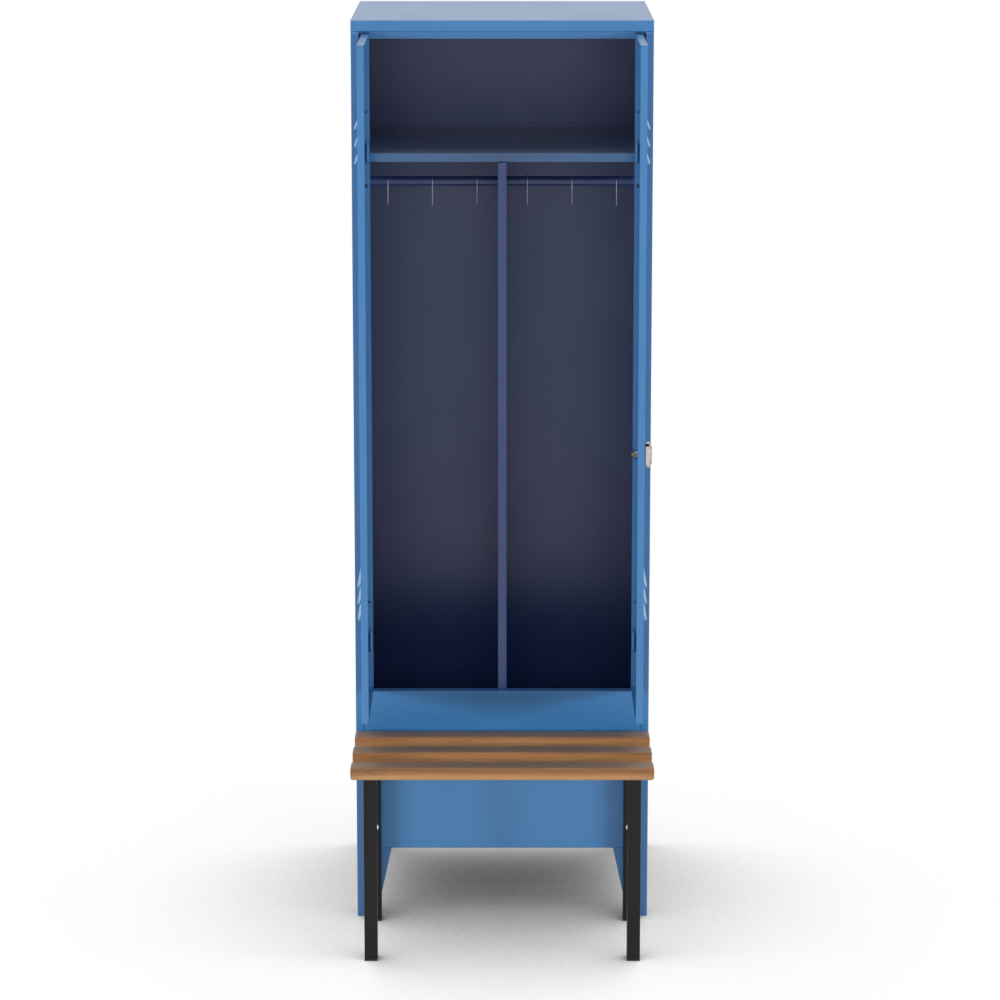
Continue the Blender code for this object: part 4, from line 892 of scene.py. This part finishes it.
class LOCKER_OT_latch(bpy.types.Operator):
    """Make the turn latch: housing, barrel, the padlock hole's black lining of painted shade, and knob"""

    bl_idname = "locker.latch"
    bl_label = "Latch"

    def execute(self, context):
        """Make the latch's own pieces, and plate its cam and nuts, which keep the CAD's shape."""
        latch = context.scene.locker.latch
        play, overshoot, reach_through, hole_corner, barrel_edge = 0.0003, 0.002, 0.012, 0.0014, 0.0004
        low, high, _ = cad_box("latch_housing")
        axis = cad_box("latch_cam_nut")[2]
        skin = cad_box("latch_ring_nut")[1].x + play + context.scene.locker.leaf.sheet
        back, face = skin + play, high.x
        centre = Vector(((back + face) / 2, axis.y, axis.z))
        width, length = high.y - low.y, high.z - low.z
        bore = latch.spindle_radius + play

        def along(start, end, radius):
            return rod((start, axis.y, axis.z), (end, axis.y, axis.z), radius, 64)

        def through(less):
            size = (latch.shade_bush_width - less, width + reach_through, latch.shade_bush_height - less)
            return rounded_box(size, hole_corner, 4, (centre.x, axis.y, high.z - latch.shackle_below))

        pocket = along(face - latch.pocket_depth, face + overshoot, latch.pocket_radius)
        mesh = self.stadium_block(width, length, face - back, latch.rounding, centre)
        mesh = carve(mesh, "pocket", pocket)
        mesh = carve(mesh, "bush hole", through(0.0))
        mesh = carve(mesh, "bore", along(back - overshoot, face, bore))
        add_piece("latch_case", mesh, "nickel plate", "door_right", ("latch_housing",))
        reach, radius = back - low.x, latch.barrel_radius
        wall = softened([(radius, reach), (radius, 0), (bore, 0), (bore, reach)], barrel_edge)
        add_piece("latch_barrel", turned_mesh("barrel", wall), "aged zinc", "door_right", (),
                  (low.x, axis.y, axis.z), TOP_TO_RIGHT)
        # A black lining in the padlock hole: painted shade, a dark piece where the hole would only be in
        # shade.
        proud = 2 * latch.shade_bush_proud
        shade_bush = self.stadium_block(width + proud, length + proud, face - back, latch.rounding, centre)
        shade_bush = carve(shade_bush, "shade_bush", through(0.0002), "INTERSECT")
        shade_bush = carve(shade_bush, "bush bore", through(2 * latch.shade_bush_wall))
        add_piece("padlock_bush", shade_bush, "glide plastic", "door_right")
        self.knob(latch, axis, face, play)
        for node in ("latch_cam", "latch_cam_nut", "latch_ring_nut"):
            wear(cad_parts[node], "aged zinc")
        return {"FINISHED"}

    def stadium_block(self, width, length, thickness, rounding, centre):
        """The mesh of the housing's rounded block, standing against the leaf."""
        mesh = plate_mesh("housing", stadium(width, length), thickness, rounding, 4)
        return moved(mesh, centre, STOOD_EDGEWISE)

    def knob(self, latch, axis, face, play):
        """Turn the knob's disc and spindle, and join its grip."""
        low, high, _ = cad_box("latch_knob")
        cam_face = cad_box("latch_cam")[1].x + play
        disc, spindle, tip = latch.disc_radius, latch.spindle_radius, 0.0025
        proud, disc_edge, grip_edge = 0.001, 0.0007, 0.0017
        front, rear = face + proud, face - latch.pocket_depth + play
        heights = [(0, front), (disc, front), (disc, rear), (spindle, rear), (spindle, cam_face),
                   (tip, cam_face), (tip, low.x), (0, low.x)]
        profile = softened([(radius, height - front) for radius, height in heights], disc_edge)
        mesh = moved(turned_mesh("knob", profile, 64), (front, axis.y, axis.z), TOP_TO_RIGHT)
        grip = rounded_box((high.x - face - play, latch.grip_width, latch.grip_length), grip_edge, 4,
                           ((high.x + face + play) / 2, axis.y, axis.z))
        add_piece("latch_turn_knob", carve(mesh, "grip", grip, "UNION"), "nickel plate", "latch",
                  ("latch_knob",))


class LOCKER_OT_bench_frames(bpy.types.Operator):
    """Make the bench's tube frames with their weld beads and slat screws"""

    bl_idname = "locker.bench_frames"
    bl_label = "Bench frames"

    def execute(self, context):
        """Make both frames."""
        for name in SIDES:
            self.frame(name, context.scene.locker.bench)
        return {"FINISHED"}

    def frame(self, name, bench):
        """One frame: outline, weld beads, and screws up into the slats."""
        node = f"bench_frame_{name}"
        low, high, middle = cad_box(node)
        front, rear, under_bar = low.y, high.y, high.z - bench.bar_height
        behind_front, before_rear = front + bench.leg_depth, rear - bench.leg_depth
        outline = [(front, low.z), (front, high.z), (rear, high.z), (rear, low.z), (before_rear, low.z),
                   (before_rear, under_bar), (behind_front, under_bar), (behind_front, low.z)]
        mesh = plate_mesh(node, outline, high.x - low.x, bench.rounding, 4)
        add_piece(f"bench_tube_{name}", mesh, "black enamel", "cabinet", (node,), (middle.x, 0, 0),
                  STOOD_EDGEWISE)
        clear, wave, radians_per_metre = 0.0006, 0.00025, 2600
        half = (high.x - low.x) / 2 - bench.rounding
        steps = [half * (share / 12 - 1) for share in range(25)]
        for corner, y in (("front", behind_front + clear), ("rear", before_rear - clear)):
            bead = [(middle.x + step, y, under_bar - clear + wave * math.sin(step * radians_per_metre))
                    for step in steps]
            add_piece(f"weld_{corner}_{name}", wire_mesh("weld", bead, bench.weld, 3), "black enamel",
                      "cabinet")
        head = [(0, 0), (0.0048, 0), (0.0042, -0.0013), (0.0024, -0.0021), (0, -0.0022)]
        for number in (2, 3):
            slat = cad_box(f"bench_slat_{number}")[2]
            add_piece(f"slat_screw_{name}_{number}", turned_mesh("slat screw", head, 32), "zinc plate",
                      "cabinet", (), (middle.x, slat.y, under_bar))


class LOCKER_OT_bench_fittings(bpy.types.Operator):
    """Turn the bolts that hold the bench to the cabinet, and finish the nuts and glides"""

    bl_idname = "locker.bench_fittings"
    bl_label = "Glides and bolts"

    def execute(self, context):
        """Make the bolts; the nuts and glides keep the CAD's shape."""
        shank, thread_end, taper = 0.004, 0.0032, 0.001
        for name in SIDES:
            for end in ("front", "rear"):
                wear(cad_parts[f"bench_glide_{end}_{name}"], "glide plastic")
            wear(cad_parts[f"bench_nut_{name}"], "zinc plate")
            node = f"bench_bolt_{name}"
            low, high, middle = cad_box(node)
            head = (high.x - low.x) / 2
            leg = cad_box(f"bench_frame_{name}")[1].y - context.scene.locker.bench.leg_depth
            proud = leg - low.y
            end = proud - (high.y - low.y)
            profile = [(head * math.sin(turn), proud * (0.35 + 0.65 * math.cos(turn)))
                       for turn in (0, 0.25, 0.5, 0.75, 1.0, 1.25, QUARTER)]
            profile += [(head, 0), (shank, 0), (shank, end + taper), (thread_end, end), (0, end)]
            add_piece(f"bolt_{name}", turned_mesh(node, profile, 40), "bright wire", "cabinet", (node,),
                      (middle.x, leg, middle.z), TOP_TO_FRONT)
        return {"FINISHED"}


class LOCKER_OT_slats(bpy.types.Operator):
    """Plane the wooden slats and round their edges"""

    bl_idname = "locker.slats"
    bl_label = "Slats"

    def execute(self, context):
        """Make the three slats, each from another stretch of the board so that its grain differs."""
        # The offset along X also sets how much painted light from below a slat's front gets.
        stretch = Vector((0.83, 0, 0))
        for number in (1, 2, 3):
            node = f"bench_slat_{number}"
            low, high, middle = cad_box(node)
            shape = rounded_box(high - low, context.scene.locker.wood.rounding, 5, stretch * number)
            add_piece(f"slat_{number}", mesh_of(shape, node), "oiled wood", "cabinet", (node,),
                      middle - stretch * number)
        return {"FINISHED"}


class LOCKER_OT_stage(bpy.types.Operator):
    """Lay the floor, light the set and place the camera"""

    bl_idname = "locker.stage"
    bl_label = "Stage"

    def execute(self, context):
        """Make the floor, the world, the lamps and the camera."""
        stage = context.scene.locker.stage
        self.floor(stage)
        self.world(context, stage)
        for name, side in SIDES.items():
            self.lamp(f"side lamp {name}", (side * 16.0, -12.1, 3.0), (0, -0.1, 1.0), (9.0, 2.6),
                      stage.side_power)
            self.lamp(f"back lamp {name}", (side * 3.4, 4.6, 2.0), (0, 0.2, 0.9), (2.0, 2.0),
                      stage.back_power)
        self.lamp("front lamp", (0, -9.0, 2.5), (0, 0.4, 0.6), (3.0, 1.2), stage.front_power)
        overhead = bpy.data.lights.new("overhead lamp", "SUN")
        overhead.energy = stage.overhead
        overhead.angle = math.radians(60)
        linked_object("overhead lamp", overhead)
        self.camera(context, stage)
        context.scene.view_settings.view_transform = "Standard"
        return {"FINISHED"}

    def seen(self, tree):
        """One for camera, mirror and glass rays, nought for the rest."""
        path = add(tree, "LightPath").outputs
        first = sum_of(tree, "MAXIMUM", path["Is Camera Ray"], path["Is Glossy Ray"])
        return sum_of(tree, "MAXIMUM", first, path["Is Transmission Ray"])

    def floor(self, stage):
        """A wide white floor that keeps the object's soft shadow but gives little light back."""
        shape = bmesh.new()
        bmesh.ops.create_grid(shape, x_segments=1, y_segments=1, size=60)
        mesh = mesh_of(shape, "floor")
        made = bpy.data.materials.new("pale floor")
        made.use_nodes = True
        made.cycles.emission_sampling = "NONE"
        tree = made.node_tree
        tree.nodes.remove(tree.nodes["Principled BSDF"])
        shade = add(tree, "AmbientOcclusion", {"Distance": 0.0}, samples=16).outputs["AO"]
        lit = sum_of(tree, "MULTIPLY", sum_of(tree, "POWER", shade, stage.shadow_depth), stage.openness)
        lit = sum_of(tree, "MINIMUM", lit, 1.0)
        seen = add(tree, "Emission", {"Color": stage.floor, "Strength": lit}).outputs[0]
        bounced = add(tree, "BsdfDiffuse", {"Color": stage.bounce}).outputs[0]
        mixed = add(tree, "MixShader", {0: self.seen(tree), 1: bounced, 2: seen}).outputs[0]
        tree.links.new(mixed, tree.nodes["Material Output"].inputs["Surface"])
        mesh.materials.append(made)
        piece = linked_object("floor", mesh)

    def world(self, context, stage):
        """Even light, with a white surround for camera, mirror and glass rays."""
        world = bpy.data.worlds.new("surround")
        world.use_nodes = True
        world.cycles.sampling_method = "NONE"
        context.scene.world = world
        tree = world.node_tree
        strength = spread(tree, self.seen(tree), 0, 1, stage.ambient, 1.0)
        tree.nodes["Background"].inputs["Color"].default_value = WHITE
        tree.links.new(strength, tree.nodes["Background"].inputs["Strength"])

    def lamp(self, name, place, target, size, power):
        """A rectangular lamp aimed at a point."""
        data = bpy.data.lights.new(name, "AREA")
        data.shape = "RECTANGLE"
        data.size, data.size_y = size
        data.energy = power
        thing = linked_object(name, data)
        thing.visible_glossy = False
        thing.location = place
        thing.rotation_euler = (Vector(target) - Vector(place)).to_track_quat("-Z", "Y").to_euler()

    def camera(self, context, stage):
        """The camera of the photograph: in front, from above, with a long lens."""
        data = bpy.data.cameras.new("camera")
        data.lens = stage.lens
        data.sensor_width = 36
        data.shift_x = -0.0031
        data.shift_y = -0.06
        thing = linked_object("camera", data)
        thing.location = (0.0017, -stage.camera_distance, stage.camera_height)
        thing.rotation_euler = (QUARTER - stage.camera_pitch, 0, 0)
        context.scene.camera = thing


PIECES = (LOCKER_OT_finishes, LOCKER_OT_cabinet, LOCKER_OT_leaves, LOCKER_OT_hinges, LOCKER_OT_rails,
          LOCKER_OT_hooks, LOCKER_OT_latch, LOCKER_OT_bench_frames, LOCKER_OT_bench_fittings,
          LOCKER_OT_slats, LOCKER_OT_stage)


class LOCKER_PT_panel(bpy.types.Panel):
    """The locker's pieces and settings"""

    bl_idname = "LOCKER_PT_panel"
    bl_label = "Locker with Bench"
    bl_space_type = "VIEW_3D"
    bl_region_type = "UI"
    bl_category = "Locker"

    def draw(self, context):
        """List the pieces, then the settings."""
        for piece in PIECES:
            self.layout.operator(piece.bl_idname)
        for part in LockerSettings.__annotations__:
            settings = getattr(context.scene.locker, part)
            box = self.layout.box()
            box.label(text=part.title())
            for label in settings.__annotations__:
                box.prop(settings, label)


CLASSES = (EnamelSettings, WoodSettings, MetalSettings, LeafSettings, HookSettings, LatchSettings,
           BenchSettings, StageSettings, LockerSettings, *PIECES, LOCKER_PT_panel)


def register():
    """Add the classes and the scene's settings."""
    for item in CLASSES:
        bpy.utils.register_class(item)
    bpy.types.Scene.locker = PointerProperty(type=LockerSettings)


def unregister():
    """Take the settings and the classes away again."""
    del bpy.types.Scene.locker
    for item in reversed(CLASSES):
        bpy.utils.unregister_class(item)


def main():
    """Make every piece in order."""
    register()
    bpy.ops.locker.finishes()
    bpy.ops.locker.cabinet()
    bpy.ops.locker.leaves()
    bpy.ops.locker.hinges()
    bpy.ops.locker.rails()
    bpy.ops.locker.hooks()
    bpy.ops.locker.latch()
    bpy.ops.locker.bench_frames()
    bpy.ops.locker.bench_fittings()
    bpy.ops.locker.slats()
    bpy.ops.locker.stage()


if __name__ == "__main__":
    main()
